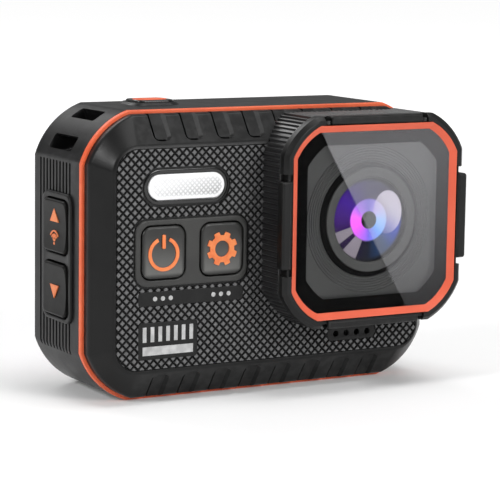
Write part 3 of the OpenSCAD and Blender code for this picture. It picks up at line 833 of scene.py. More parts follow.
HOUSING = Plastic("housing_black", (0.006, 0.006, 0.0063), (0.009, 0.009, 0.0094), DIM, gleam=0.2)
SHELL = Plastic("shell_black", (0.0055, 0.0055, 0.0055), (0.0085, 0.0085, 0.0085), DIM, gleam=0.22)
TRIM = Plastic("orange_trim", (0.74, 0.115, 0.042), (0.84, 0.145, 0.056), SATIN, FINE)
ICON = Plastic("icon_orange", (0.70, 0.165, 0.05), (0.80, 0.20, 0.062), (0.34, 0.45), FINE)
RING_TRIM = Plastic("orange_ring", (0.62, 0.10, 0.05), (0.70, 0.12, 0.062), (0.35, 0.45), FINE)
SCREEN_TRIM = Plastic("screen_orange", (0.84, 0.165, 0.011), (0.93, 0.21, 0.018), SATIN, FINE)
KEY = Plastic("key_black", (0.004, 0.004, 0.0038), (0.007, 0.007, 0.0065), (0.38, 0.46), FINE, gleam=0.15)
PLINTH = Plastic("plinth_black", (0.032, 0.032, 0.031), (0.042, 0.042, 0.04), (0.34, 0.42), FINE)
RIBBED = Plastic("ribbed_black", (0.014, 0.014, 0.0145), (0.022, 0.022, 0.0225), RUBBED, FINE, gleam=0.6)
GLOSS = Plastic("gloss_black", (0.003, 0.003, 0.003), (0.005, 0.005, 0.005), (0.12, 0.2), 0.0, gleam=0.5)
INK = Plastic("black_print", (0.001, 0.001, 0.001), (0.002, 0.002, 0.002), MATT, 0.0, 0.0, 0.02)
LENS_GREY = Plastic("lens_grey", (0.036, 0.037, 0.036), (0.043, 0.044, 0.043), (0.45, 0.55), 0.0, 0.0)
RUBBER = Plastic("seal_rubber", (0.004, 0.004, 0.004), (0.008, 0.008, 0.008), (0.6, 0.8))
DOOR_RUBBER = Plastic("door_rubber", (0.45, 0.12, 0.03), (0.55, 0.16, 0.04), (0.55, 0.7))
PRINT_GREY = Plastic("printed_grey", (0.34, 0.34, 0.34), (0.42, 0.42, 0.42), MATT, FINE)
BATTERY = Plastic("battery_blue", (0.03, 0.07, 0.2), (0.04, 0.1, 0.26), (0.25, 0.4), FINE)
STEEL = Metal("stamped_steel", (0.62, 0.62, 0.6))
BRASS = Metal("turned_brass", (0.75, 0.56, 0.28), (0.18, 0.32))
BOARD = Board("circuit_board")
PANEL_TOP = PANEL_LOW.y * MM
STRIP_TOP = MID_HIGH.y * MM + 0.0028
# Near-black painted shade for the bottoms of the knurl grooves.
GROOVE_SHADE = (0.0015, 0.0015, 0.0015)
KNURL = Knurl("knurled_black", GROOVE_SHADE, (0.13, 0.13, 0.132), PANEL_TOP + 0.00030, PANEL_TOP)
STRIP = Knurl("grip_black", GROOVE_SHADE, (0.09, 0.09, 0.092), STRIP_TOP - 0.00028, STRIP_TOP)


# ------------------------------------------------------------------ housing


@dataclass
class Housing:
    """The mid housing, its seam ring and the tripod bush."""

    wall: float = 1.8
    strap_inner: float = 1.9
    strap_outer: float = 4.7
    groove_count: int = 10
    groove_step: float = 1.3
    groove_middle: float = 2.3

    def build(self) -> None:
        """Builds every piece of the housing."""
        self.mid_housing()
        self.seam_ring()
        self.bush_thread()

    def mid_housing(self) -> None:
        """Builds the tub with its strap windows, side grooves and openings."""
        front, back = MID_LOW.y, MID_HIGH.y
        tub = Blank("mid_housing_shell", plate(BODY.loop(), [BODY.loop(self.wall)], front, back))
        strap = (BODY.centre[0] - BODY.width / 2 + 3.35, MIDDLE_Z + BODY.height / 2 - 3.35)
        boss = Blank("boss", plate(circle(self.strap_outer + 1.3, strap), [], -4.0, 7.6))
        boss.carve(Blank("limit", plate(BODY.loop(0.02), [], front, back)), operation="INTERSECT")
        tub.carve(boss, operation="UNION")
        channel = plate(circle(self.strap_outer, strap), [circle(self.strap_inner, strap)], -2.7, 6.3)
        soften(channel, 0.55, 4)
        tub.carve(Blank("channel", channel))
        tub.carve(Blank("grooves", *self.groove_tools()))
        tub.carve(*self.opening_tools())
        tub.round_edges(0.14)
        tub.place(HOUSING, "housing_black", "mid_housing")

    def groove_tools(self) -> list[Solid]:
        """Makes the cutters for the fine side grooves."""
        low, high = node_box("side_surround")
        side = MID_LOW.x
        tools = []
        for i in range(self.groove_count):
            y = self.groove_middle + (i - (self.groove_count - 1) / 2) * self.groove_step
            start, end = (side - 1, y - 0.3, low.z - 5.4), (side + 0.42, y + 0.3, high.z + 5.4)
            tools.append(box_solid(start, end, 0.24))
        return tools

    def opening_tools(self) -> list[Blank]:
        """Makes the cutters for the keys, the shutter, the bush and the port door."""
        surround, shutter = middle("side_surround"), middle("shutter_button")
        bush_low, bush_high = node_box("tripod_bush")
        side, top, wall = MID_LOW.x, -MID_HIGH.z, self.wall
        keys = plate(rounded(*KEY_WINDOW, (-surround.y, surround.z)), [], side - 1, side + wall + 1)
        button = plate(rounded(*SHUTTER_WELL, (shutter.x, shutter.y)), [], top - 1, top + wall + 1)
        bush = plate(circle((bush_high.x - bush_low.x) / 2), [], -bush_high.z, 1)
        door_low, door_high = node_box("side_door")
        door = box_solid(
            (MID_HIGH.x - wall - 1, door_low.y - 0.1, door_low.z - 0.1),
            (MID_HIGH.x + 1, door_high.y + 0.1, door_high.z + 0.1),
        )
        return [
            Blank("keys", move(keys, Turn.LEFT.matrix())), Blank("button", move(button, Turn.TOP.matrix())),
            Blank("bush", move(bush, Turn.TOP.matrix())), Blank("door", door),
        ]

    def seam_ring(self) -> None:
        """Builds the orange band with a rounded outer edge."""
        low, high = node_box("seam_ring")
        insets = (
            (high.y, 0.05), (high.y - 0.1, 0.0), (low.y + 0.22, 0.0), (low.y + 0.06, 0.07), (low.y, 0.22),
            (low.y, 2.4), (high.y, 2.4),
        )
        sections = [(y, BODY.loop(inset)) for y, inset in insets]
        ring = Blank("seam_ring_band", loft(sections, closed_ring=True))
        ring.place(TRIM, "orange_trim", "seam_ring")

    def bush_thread(self) -> None:
        """Winds a thread inside the tripod bush."""
        low, _ = node_box("tripod_bush")
        pitch, depth, crest, turns = 1.27, 0.25, 3.2, 4
        mesh = bmesh.new()
        rim = [(crest, 0.0), (crest - depth, pitch * 0.35), (crest - depth, pitch * 0.65), (crest, pitch)]
        verts = [mesh.verts.new((radius, 0, low.z + 0.3 + rise)) for radius, rise in rim]
        edges = [mesh.edges.new(pair) for pair in zip(verts, verts[1:])]
        bmesh.ops.spin(
            mesh, geom=verts + edges, cent=(0, 0, 0), axis=(0, 0, 1), angle=2 * math.pi * turns,
            dvec=(0, 0, pitch / 48), steps=48 * turns, use_merge=False,
        )
        bmesh.ops.remove_doubles(mesh, verts=mesh.verts[:], dist=1e-4)
        bmesh.ops.reverse_faces(mesh, faces=mesh.faces[:])
        Blank("tripod_thread", mesh).place(BRASS, "brass")


# ------------------------------------------------------------------ front


@dataclass
class Front:
    """The bevelled front shell, the knurled panel and what sits in it."""

    step: float = 0.6
    slots: int = 8
    slot_pitch: float = 6.1
    slot_width: float = 3.4
    slot_depth: float = 0.5
    slot_draft: float = 0.55
    slot_band: float = 0.6
    rim: float = 0.3
    panel_radius: float = 4.0
    pitch: float = 1.06
    groove: float = 0.3
    floor_back: float = -11.3
    light_size: Point = (14.6, 4.4)

    def build(self) -> None:
        """Builds every piece of the front."""
        self.shell()
        self.panel()
        self.fill_light()
        self.surround()
        self.power_button()
        self.gear_button()

    @property
    def panel_size(self) -> Point:
        """Width and height of the front panel."""
        return PANEL_HIGH.x - PANEL_LOW.x, PANEL_HIGH.z - PANEL_LOW.z

    def shell(self) -> None:
        """Builds the front shell: a wall, bevels and two rows of slots."""
        width, height = self.panel_size
        low, high = node_box("front_shell")
        wall_y = high.y - 1.6
        rim, centre, radius = self.rim, (0, MIDDLE_Z), self.panel_radius
        mouth = rounded(width + 2 * rim, height + 2 * rim, radius + rim, centre, BODY.steps)
        front = loft([(high.y, BODY.loop(self.step)), (wall_y, BODY.loop(self.step)), (low.y, mouth)])
        soften(front, 0.5, 4, lambda spot: spot.y < wall_y + 0.3)
        shell = Blank("front_shell_bevel", front)
        pocket = plate(rounded(width, height, radius, centre, 16), [], low.y - 2, PANEL_HIGH.y)
        shell.carve(Blank("pocket", pocket))
        pockets, grooves = self.slot_tools(wall_y, low.y)
        shell.carve(Blank("slots", *pockets)).carve(Blank("grooves", *grooves))
        inside = plate(rounded(width - 3, height - 1, radius - 1, centre), [], self.floor_back, high.y + 1)
        shell.carve(Blank("inside", inside))
        shell.carve(Blank("openings", *self.opening_tools(low.y - 1, self.floor_back + 1)))
        shell.round_edges(0.12, 30)
        shell.place(SHELL, "shell_black", "front_shell")

    def slot_tools(self, wall_y: float, front_y: float) -> tuple[list[Solid], list[Solid]]:
        """Makes the cutters for the slots of both bevels.

        Each slot is a pocket with a sloped right side; a narrow deeper groove follows its left
        side and its end.

        Args:
            wall_y: Y where the bevels start.
            front_y: Y where they end.

        Returns:
            The pockets and the grooves.
        """
        rise = BODY.height / 2 - self.step - self.panel_size[1] / 2 - self.rim
        run = wall_y - front_y
        slope = math.atan2(run, rise)
        length = math.hypot(rise, run) + 2
        width, draft, depth = self.slot_width, self.slot_draft, self.slot_depth
        top = rounded(width, length, 1.1, (0, 3 - length / 2), 6)
        foot = rounded(width - draft, length - 0.1, 1.0, (-draft / 2, 3 - (length - 0.1) / 2), 6)
        left, end, band = -width / 2, 3 - length, self.slot_band
        corner = (left + 1.1, end + 1.1)
        outer = arc(1.1, 180, 270, corner, 6)
        inner = arc(1.1 - band, 270, 180, corner, 6)
        hook = [(left, 3), *outer, (-left - 0.9, end), (-left - 0.9, end + band), *inner, (left + band, 3)]
        pockets, grooves = [], []
        turned_in = Matrix.Rotation(-slope, 4, "X")
        for row in (1, -1):
            for i in range(self.slots):
                x = (i - (self.slots - 1) / 2) * self.slot_pitch
                place = Matrix.Translation((x, wall_y, BODY.height / 2 - self.step)) @ turned_in
                pocket = loft([(-3, top), (0, top), (depth, foot)])
                groove = plate(hook, [], -0.5, depth + 0.8)
                for tool, tools in ((pocket, pockets), (groove, grooves)):
                    move(tool, place)
                    bmesh.ops.scale(tool, verts=tool.verts[:], vec=(1, 1, row))
                    bmesh.ops.translate(tool, verts=tool.verts[:], vec=(0, 0, MIDDLE_Z))
                    bmesh.ops.recalc_face_normals(tool, faces=tool.faces[:])
                    tools.append(tool)
        return pockets, grooves

    def light_hole(self, steps: int) -> Loop:
        """Gives the outline of the fill light's bezel."""
        width, height = self.light_size
        return rounded(width + 1.6, height + 1.6, height / 2 + 0.79, face_middle("flash_lens"), steps)

    def mic_holes(self) -> list[Loop]:
        """Gives the outlines of the four microphone holes."""
        x, z = face_middle("mic_mesh")
        return [circle(0.55, (x + (i - 1.5) * 2.2, z), 24) for i in range(4)]

    def button_holes(self) -> list[Loop]:
        """Gives the outlines of the holes for both buttons."""
        return [rounded(*BUTTON_HOLE, face_middle(node)) for node in ("power_button", "gear_button")]

    def opening_tools(self, front: float, back: float) -> list[Solid]:
        """Makes the cutters for the fill light, the buttons, the microphone and the lens."""
        loops = [self.light_hole(8), circle(10.5, LENS, 64), *self.button_holes(), *self.mic_holes()]
        return [plate(loop, [], front, back) for loop in loops]

    def pads(self) -> list[Loop]:
        """Gives the outlines of the panel's smooth pads: marks, labels and microphone."""
        marks_low, _ = node_box("panel_marks")
        return [
            rounded(20.4, 2.5, 0.6, (face_middle("button_surround")[0], 18.3)),
            rounded(11.4, 6.4, 0.6, (marks_low.x + 4.85, marks_low.z + 2.45)),
            rounded(10.2, 2.6, 1.0, face_middle("mic_mesh")),
        ]

    def panel(self) -> None:
        """Builds the knurled panel: a backing plate, smooth pads and the diamonds."""
        width, height = self.panel_size
        light, surround, centre = face_middle("flash_lens"), face_middle("button_surround"), (0.0, MIDDLE_Z)
        mics = self.mic_holes()
        top, bottom = PANEL_LOW.y, PANEL_LOW.y + self.groove
        base = plate(
            rounded(width - 0.1, height - 0.1, self.panel_radius, centre, 16),
            [self.light_hole(12), rounded(21.6, 11.4, 2.2, surround), *mics], bottom, PANEL_HIGH.y,
        )
        labels, marks, mic_pad = self.pads()
        pads = [plate(outline, [], top, bottom) for outline in (labels, marks)]
        pads.append(plate(mic_pad, mics, top + 0.14, bottom))
        for pad in pads:
            soften(pad, 0.12, 2)
        Blank("front_panel_base", base, *pads).place(SHELL, "knurled_black", "front_panel")
        reach = (width + height) / math.sqrt(2) + 2
        knurl = Blank("front_panel_knurl", knurled_slab(reach, self.pitch, centre, top, self.groove, 0.3))
        holes = [rounded(17.0, 6.8, 3.38, light, 12), rounded(22.3, 12.1, 2.5, surround)]
        holes += [labels, marks, mic_pad]
        outline = rounded(width - 0.3, height - 0.3, self.panel_radius - 0.15, centre, 16)
        keep = plate(outline, holes, top - 1, PANEL_HIGH.y - 0.2)
        knurl.carve(Blank("keep", keep), operation="INTERSECT", solver="MANIFOLD")
        knurl.carve(Blank("barrel", plate(octagon(17.8), [], top - 1, PANEL_HIGH.y)), solver="MANIFOLD")
        knurl.place(KNURL, "knurled_black", smooth=False)

    def fill_light(self) -> None:
        """Builds the fill light: a dark bezel and the prismatic lens."""
        low, high = node_box("flash_lens")
        spot = face_middle("flash_lens")
        width, height = self.light_size
        inner = rounded(width + 0.1, height + 0.1, (height + 0.1) / 2 - 0.01, spot, 12)
        bezel = plate(self.light_hole(12), [inner], PANEL_LOW.y + 0.1, high.y)
        soften(bezel, 0.12, 2)
        Blank("flash_bezel", bezel).place(GLOSS, "housing_black")
        edge = ((high.y, 0.0), (low.y + 0.35, 0.0), (low.y + 0.17, 0.06), (low.y + 0.05, 0.2), (low.y, 0.42))
        sections = [
            (y, rounded(width - 2 * inset, height - 2 * inset, height / 2 - 0.01 - inset, spot, 14))
            for y, inset in edge
        ]
        lens = Blank("flash_lens_prisms", loft(sections))
        lens.place(FlashLens("flash_clear", spot), "flash_clear", "flash_lens")

    def surround(self) -> None:
        """Builds the smooth plate round the two front buttons."""
        low, high = node_box("button_surround")
        outline = rounded(high.x - low.x, high.z - low.z, 2.2, face_middle("button_surround"))
        solid = plate(outline, self.button_holes(), low.y, high.y)
        soften(solid, 0.22, 3, lambda spot: spot.y < low.y + 0.1)
        Blank("button_surround_plate", solid).place(PLINTH, "shell_black", "button_surround")

    def cap(self, node: str) -> Vector:
        """Builds one front button's cap and gives the middle of its face."""
        low, _ = node_box(node)
        centre = face_middle(node)
        cap = dished_cap(node + "_cap", BUTTON_FACE, 1.7, centre, low.y, low.y + 2.3, 0.34)
        cap.place(KeyFacePaintedLight(node + "_face", centre, BUTTON_FACE), "key_black", node, body=node)
        return Vector((centre[0], low.y, centre[1]))

    def power_button(self) -> None:
        """Builds the power button with its open-ring symbol."""
        face = self.cap("power_button")
        spot = (face.x, face.z - 0.25)
        ring = plate(arc_band(2.35, 2.95, 90 + 24, 450 - 24, spot, 48), [], face.y + 0.02, face.y + 0.4)
        bar = plate(rounded(0.58, 2.4, 0.2, (face.x, face.z + 1.85)), [], face.y, face.y + 0.4)
        Blank("power_symbol", ring, bar).place(ICON, "orange_trim", "power_icon", body="power_button")

    def gear_button(self) -> None:
        """Builds the settings button with its gear symbol."""
        face = self.cap("gear_button")
        spot = (face.x, face.z)
        gear = plate(gear_outline(2.95, 2.35, 8, spot), [circle(1.42, spot, 32)], face.y + 0.03, face.y + 0.4)
        Blank("gear_symbol", gear).place(ICON, "orange_trim", "gear_icon", body="gear_button")


@dataclass(frozen=True)
class KeyFacePaintedLight(Finish):
    """A soft-touch key with painted light: a painted highlight that grows towards its lower edge, and painted
    shade that keeps it dark towards its rim.

    Attributes:
        centre: Middle of the key, in millimetres.
        size: Its width and height, in millimetres.
    """

    centre: Point
    size: Point

    def write(self, nodes: Nodes) -> None:
        """Writes the finish's own nodes."""
        x, _, z = nodes.split()
        centre_x, centre_z = self.centre[0], self.centre[1]
        half_x, half_z = self.size[0] / 2, self.size[1] / 2
        right = nodes.span(x, (centre_x - half_x) * MM, (centre_x + half_x) * MM, -1.0, 1.0)
        down = nodes.span(z, (centre_z + half_z) * MM, (centre_z - half_z) * MM, -1.0, 1.0)
        # Painted highlight towards the lower edge; painted shade towards the rim.
        share = nodes.span(down + right * -0.15, -0.9, 1.0, smooth=True)
        inner = nodes.span(nodes.maths("MAXIMUM", abs(right), abs(down * 1.02)), 0.96, 0.78, smooth=True)
        tone = nodes.mix(share * inner, (0.016, 0.016, 0.015), (0.11, 0.11, 0.105))
        rough = nodes.span(nodes.noise(260.0, 5.0), 0.3, 0.7, 0.3, 0.38)
        nodes.set(Base_Color=tone, Roughness=rough, Specular_IOR_Level=0.4)


@dataclass(frozen=True)
class FlashLens(Finish):
    """A clear moulding with rows of small prisms over a bright reflector, with a painted highlight along its
    rim and painted shade that darkens it lower down.

    Attributes:
        centre: Middle of the lens, in millimetres.
        pitch: Distance between the prisms, in metres.
    """

    centre: Point
    pitch: float = 0.00044

    def write(self, nodes: Nodes) -> None:
        """Writes the finish's own nodes."""
        x, _, z = nodes.split()
        ridges = nodes.maths("PINGPONG", x + z, self.pitch), nodes.maths("PINGPONG", x - z, self.pitch)
        height = nodes.span(nodes.maths("MINIMUM", *ridges), 0.0, self.pitch * 0.9)
        aside = nodes.maths("MAXIMUM", abs(x - self.centre[0] * MM) - 0.0051, 0.0)
        above = z - self.centre[1] * MM
        # Painted highlight: the lens turns white towards its rim.
        inner = nodes.span(nodes.far(aside, above), 0.0019, 0.0012, smooth=True)
        # Painted shade: paler towards the top, darker lower down.
        shade = nodes.span(x * 0.25 - above, -0.0055, 0.0, 0.25, 0.95)
        share = (1.0 - height) * inner * shade
        tone = nodes.mix(share, (0.93, 0.93, 0.94), (0.06, 0.06, 0.065))
        nodes.set(Base_Color=tone, Roughness=0.16, Coat_Weight=0.6, Coat_Roughness=0.05)
        nodes.bump(height, 0.0001, 0.6)


# ------------------------------------------------------------------ side keys and shutter


@dataclass
class SideKeys:
    """The two keys on the side, their raised surround and their marks."""

    width: float = 8.8
    height: float = 9.1
    radius: float = 1.2
    dish: float = 0.3

    def build(self) -> None:
        """Builds the surround, both keys and the marks on them."""
        low, high = node_box("side_surround")
        centre = (-(low.y + high.y) / 2, (low.z + high.z) / 2)
        keys = [middle(node) for node in ("up_key", "down_key")]
        holes = [rounded(self.width + 0.4, self.height + 0.4, 1.4, (-key.y, key.z)) for key in keys]
        proud = plate(rounded(high.y - low.y, high.z - low.z, 2.0, centre), holes, low.x, MID_LOW.x)
        soften(proud, 0.28, 3, lambda spot: spot.y < low.x + 0.1)
        inner = plate(rounded(*KEY_WINDOW, centre), holes, MID_LOW.x, high.x)
        Blank("side_surround_frame", proud, inner).place(
            SHELL, "shell_black", "side_surround", turn=Turn.LEFT
        )
        self.key("up_key", [self.triangle(keys[0], 1), *self.lamp(keys[0])], "up_mark")
        self.key("down_key", [self.triangle(keys[1], -1)], "down_mark")

    def key(self, node: str, marks: list[Solid], mark_node: str) -> None:
        """Builds a side key and its marks.

        Args:
            node: The key's CAD node and body.
            marks: Solids of the marks.
            mark_node: The CAD node that they stand for.
        """
        low, _ = node_box(node)
        spot = middle(node)
        centre = (-spot.y, spot.z)
        size, face = (self.width, self.height), low.x
        cap = dished_cap(node + "_cap", size, self.radius, centre, face, face + 2.6, self.dish, False)
        cap.place(KEY, "key_black", node, body=node, turn=Turn.LEFT)
        Blank(mark_node + "_inlay", *marks).place(
            ICON, "orange_trim", mark_node, body=node, turn=Turn.LEFT
        )

    def triangle(self, key: Vector, way: int) -> Solid:
        """Makes an arrow head in the key's face; way is 1 for up and -1 for down."""
        low, _ = node_box("up_key")
        top = key.z + (1.9 if way > 0 else 1.5 - 1.9)
        corners = [(-1.65, -1.15 * way), (1.65, -1.15 * way), (0.0, 1.15 * way)]
        return plate([(x - key.y, z + top) for x, z in corners], [], low.x + 0.1, low.x + 0.6)

    def lamp(self, key: Vector) -> list[Solid]:
        """Makes the small signal symbol below the up arrow: a dot under two arcs."""
        low, _ = node_box("up_key")
        spot = (-key.y, key.z - 2.0)
        face = low.x + 0.12
        root = face + 0.4
        over, eye = (spot[0], spot[1] - 0.6), (spot[0], spot[1] - 0.15)
        return [
            plate(circle(0.3, (spot[0], spot[1] - 1.05), 20), [], face, root),
            plate(circle(0.52, eye, 24), [circle(0.24, eye, 16)], face, root),
            plate(arc_band(1.0, 1.26, 30, 150, over, 16), [], face, root),
            plate(arc_band(1.6, 1.86, 30, 150, over, 16), [], face, root),
        ]


class Shutter:
    """The shutter button on the top."""

    def build(self) -> None:
        """Builds the collar, the button and its coloured inlay."""
        _, collar_high = node_box("shutter_collar")
        button_low, button_high = node_box("shutter_button")
        inlay_low, inlay_high = node_box("shutter_inlay")
        spot = middle("shutter_button")
        centre = (spot.x, spot.y)
        base, top, well = -MID_HIGH.z, -collar_high.z, rounded(*SHUTTER_WELL, centre)
        collar = loft([
            (base + 0.3, rounded(9.9, 7.9, 2.6, centre)), (base, rounded(9.9, 7.9, 2.6, centre)),
            (top + 0.06, rounded(8.7, 7.2, 2.2, centre)), (top, rounded(8.5, 7.0, 2.1, centre)), (top, well),
            (base + 0.3, well),
        ], closed_ring=True)
        turn = Turn.TOP
        Blank("shutter_collar_ring", collar).place(HOUSING, "housing_black", "shutter_collar", turn=turn)
        cap = plate(rounded(7.5, 6.0, 1.6, centre), [], -button_high.z, -button_low.z - 2.4)
        soften(cap, 0.32, 4, lambda place: place.y < -button_high.z + 0.1)
        Blank("shutter_cap", cap).place(GLOSS, "key_black", "shutter_button", body="shutter", turn=turn)
        inlay = plate(rounded(6.4, 4.0, 1.9, centre, 12), [], -inlay_high.z, -inlay_low.z)
        soften(inlay, 0.14, 3, lambda place: place.y < -inlay_high.z + 0.1)
        Blank("shutter_oval", inlay).place(
            TRIM, "orange_trim", "shutter_inlay", body="shutter", turn=turn
        )


# ------------------------------------------------------------------ lens


@dataclass(frozen=True)
class LensCoatingPaintedLight(Finish):
    """The domed front element: a dark pupil, a bright coated ring and coloured depths, with painted light
    over them: two painted window reflections, a painted highlight at the upper right, a pupil painted darker
    on its left, and a faint glow.

    Attributes:
        radius: Radius of the dome, in metres.
        ring: Radius of the coated ring, in metres.
        pupil: Radius of the pupil, in metres.
    """

    radius: float = 0.0075
    ring: float = 0.0037
    pupil: float = 0.00155

    def write(self, nodes: Nodes) -> None:
        """Writes the finish's own nodes."""
        x, _, z = nodes.split()
        right = x - (LENS[0] - 0.55) * MM
        up = z - LENS[1] * MM
        out = nodes.far(right, up)
        turn = (nodes.maths("ARCTAN2", up, right) + math.pi) / (2 * math.pi)
        depths = nodes.ramp(
            turn, (0.0, (0.026, 0.003, 0.10)), (0.07, (0.010, 0.001, 0.03)), (0.25, (0.002, 0.003, 0.010)),
            (0.36, (0.014, 0.045, 0.13)), (0.46, (0.012, 0.04, 0.40)), (0.60, (0.03, 0.026, 0.06)),
            (0.75, (0.03, 0.024, 0.08)), (0.90, (0.034, 0.006, 0.18)), (1.0, (0.026, 0.003, 0.10)),
        )
        ring = nodes.ramp(
            turn, (0.0, (0.80, 0.10, 0.92)), (0.12, (0.55, 0.09, 0.75)), (0.25, (0.17, 0.12, 0.62)),
            (0.38, (0.14, 0.36, 0.86)), (0.5, (0.22, 0.48, 0.92)), (0.62, (0.45, 0.38, 0.80)),
            (0.75, (0.18, 0.14, 0.55)), (0.88, (0.32, 0.14, 0.66)), (1.0, (0.80, 0.10, 0.92)),
        )
        ring_edge = nodes.span(out, self.ring + 0.0002, self.ring - 0.0002, smooth=True)
        tone = nodes.mix(ring_edge, depths, ring)
        rim = nodes.span(out, self.radius * 0.86, self.radius * 0.99, smooth=True)
        tone = nodes.mix(rim, tone, (0.004, 0.004, 0.006))
        # Painted reflections of two windows, then a painted highlight, over the coating colours.
        tone = nodes.mix(self.window_reflections(nodes, turn, out), tone, (0.17, 0.15, 0.18))
        tone = nodes.mix(self.highlight(nodes, right, up), tone, (0.60, 0.56, 0.66))
        pupil_edge = nodes.span(out, self.pupil + 0.0001, self.pupil - 0.0001, smooth=True)
        # Painted shade: the pupil is darker on its left, lighter on its right.
        shade = nodes.span(right - up * 0.3, -0.0010, -0.0002, smooth=True)
        pupil = nodes.mix(shade, (0.001, 0.001, 0.002), (0.028, 0.034, 0.045))
        tone = nodes.mix(pupil_edge, tone, pupil)
        # The emission makes the painted coating and its painted highlight glow.
        nodes.set(
            Base_Color=tone, Roughness=0.2, Specular_IOR_Level=0.05, Coat_Weight=0.12, Coat_Roughness=0.03,
            Emission_Color=tone, Emission_Strength=0.3,
        )

    def window_reflections(self, nodes: Nodes, turn: Value, out: Value) -> Value:
        """Gives the share of two painted reflections of windows: pale patches, low on the left."""
        wedges = [
            nodes.span(turn, start, start + 0.005) * nodes.span(turn, end, end - 0.005)
            for start, end in ((0.045, 0.1), (0.125, 0.2))
        ]
        either = nodes.maths("ADD", *wedges, clamp=True)
        band = nodes.span(out, 0.0036, 0.0038) * nodes.span(out, self.radius * 0.97, self.radius * 0.93)
        return either * band

    def highlight(self, nodes: Nodes, right: Value, up: Value) -> Value:
        """Gives the share of the large soft oval at the upper right."""
        across = (right - 0.004) / 0.0031
        above = (up - 0.0012) / 0.0038
        oval = across**2 + above**2
        inside = nodes.span(oval, 1.06, 0.94, smooth=True)
        fade = nodes.span(right + up, -0.0005, 0.0080, 0.10, 0.85, smooth=True)
        return inside * fade


@dataclass(frozen=True)
class CoverGlass(Finish):
    """Clear glass with a painted sheen: a pale painted reflection on the upper right of a slanting line.

    Attributes:
        start: A point of the line, from the lens axis, in millimetres.
        way: Direction towards the sheen.
    """

    start: Point = (-10.6, 15.1)
    way: Point = (0.865, 0.501)

    def write(self, nodes: Nodes) -> None:
        """Writes the finish's own nodes."""
        x, _, z = nodes.split()
        right = x - (LENS[0] + self.start[0]) * MM
        up = z - (LENS[1] + self.start[1]) * MM
        beyond = right * self.way[0] + up * self.way[1]
        # Painted reflection: a pale veil beyond the line, stronger towards the top.
        sheen = nodes.span(beyond, -0.00004, 0.00004)
        fade = nodes.span(up, -0.030, -0.001, 0.06, 0.20)
        share = sheen * fade + 0.004
        nodes.set(Base_Color=(0.5, 0.5, 0.52), Roughness=0.3, Specular_IOR_Level=0.1, Alpha=share)


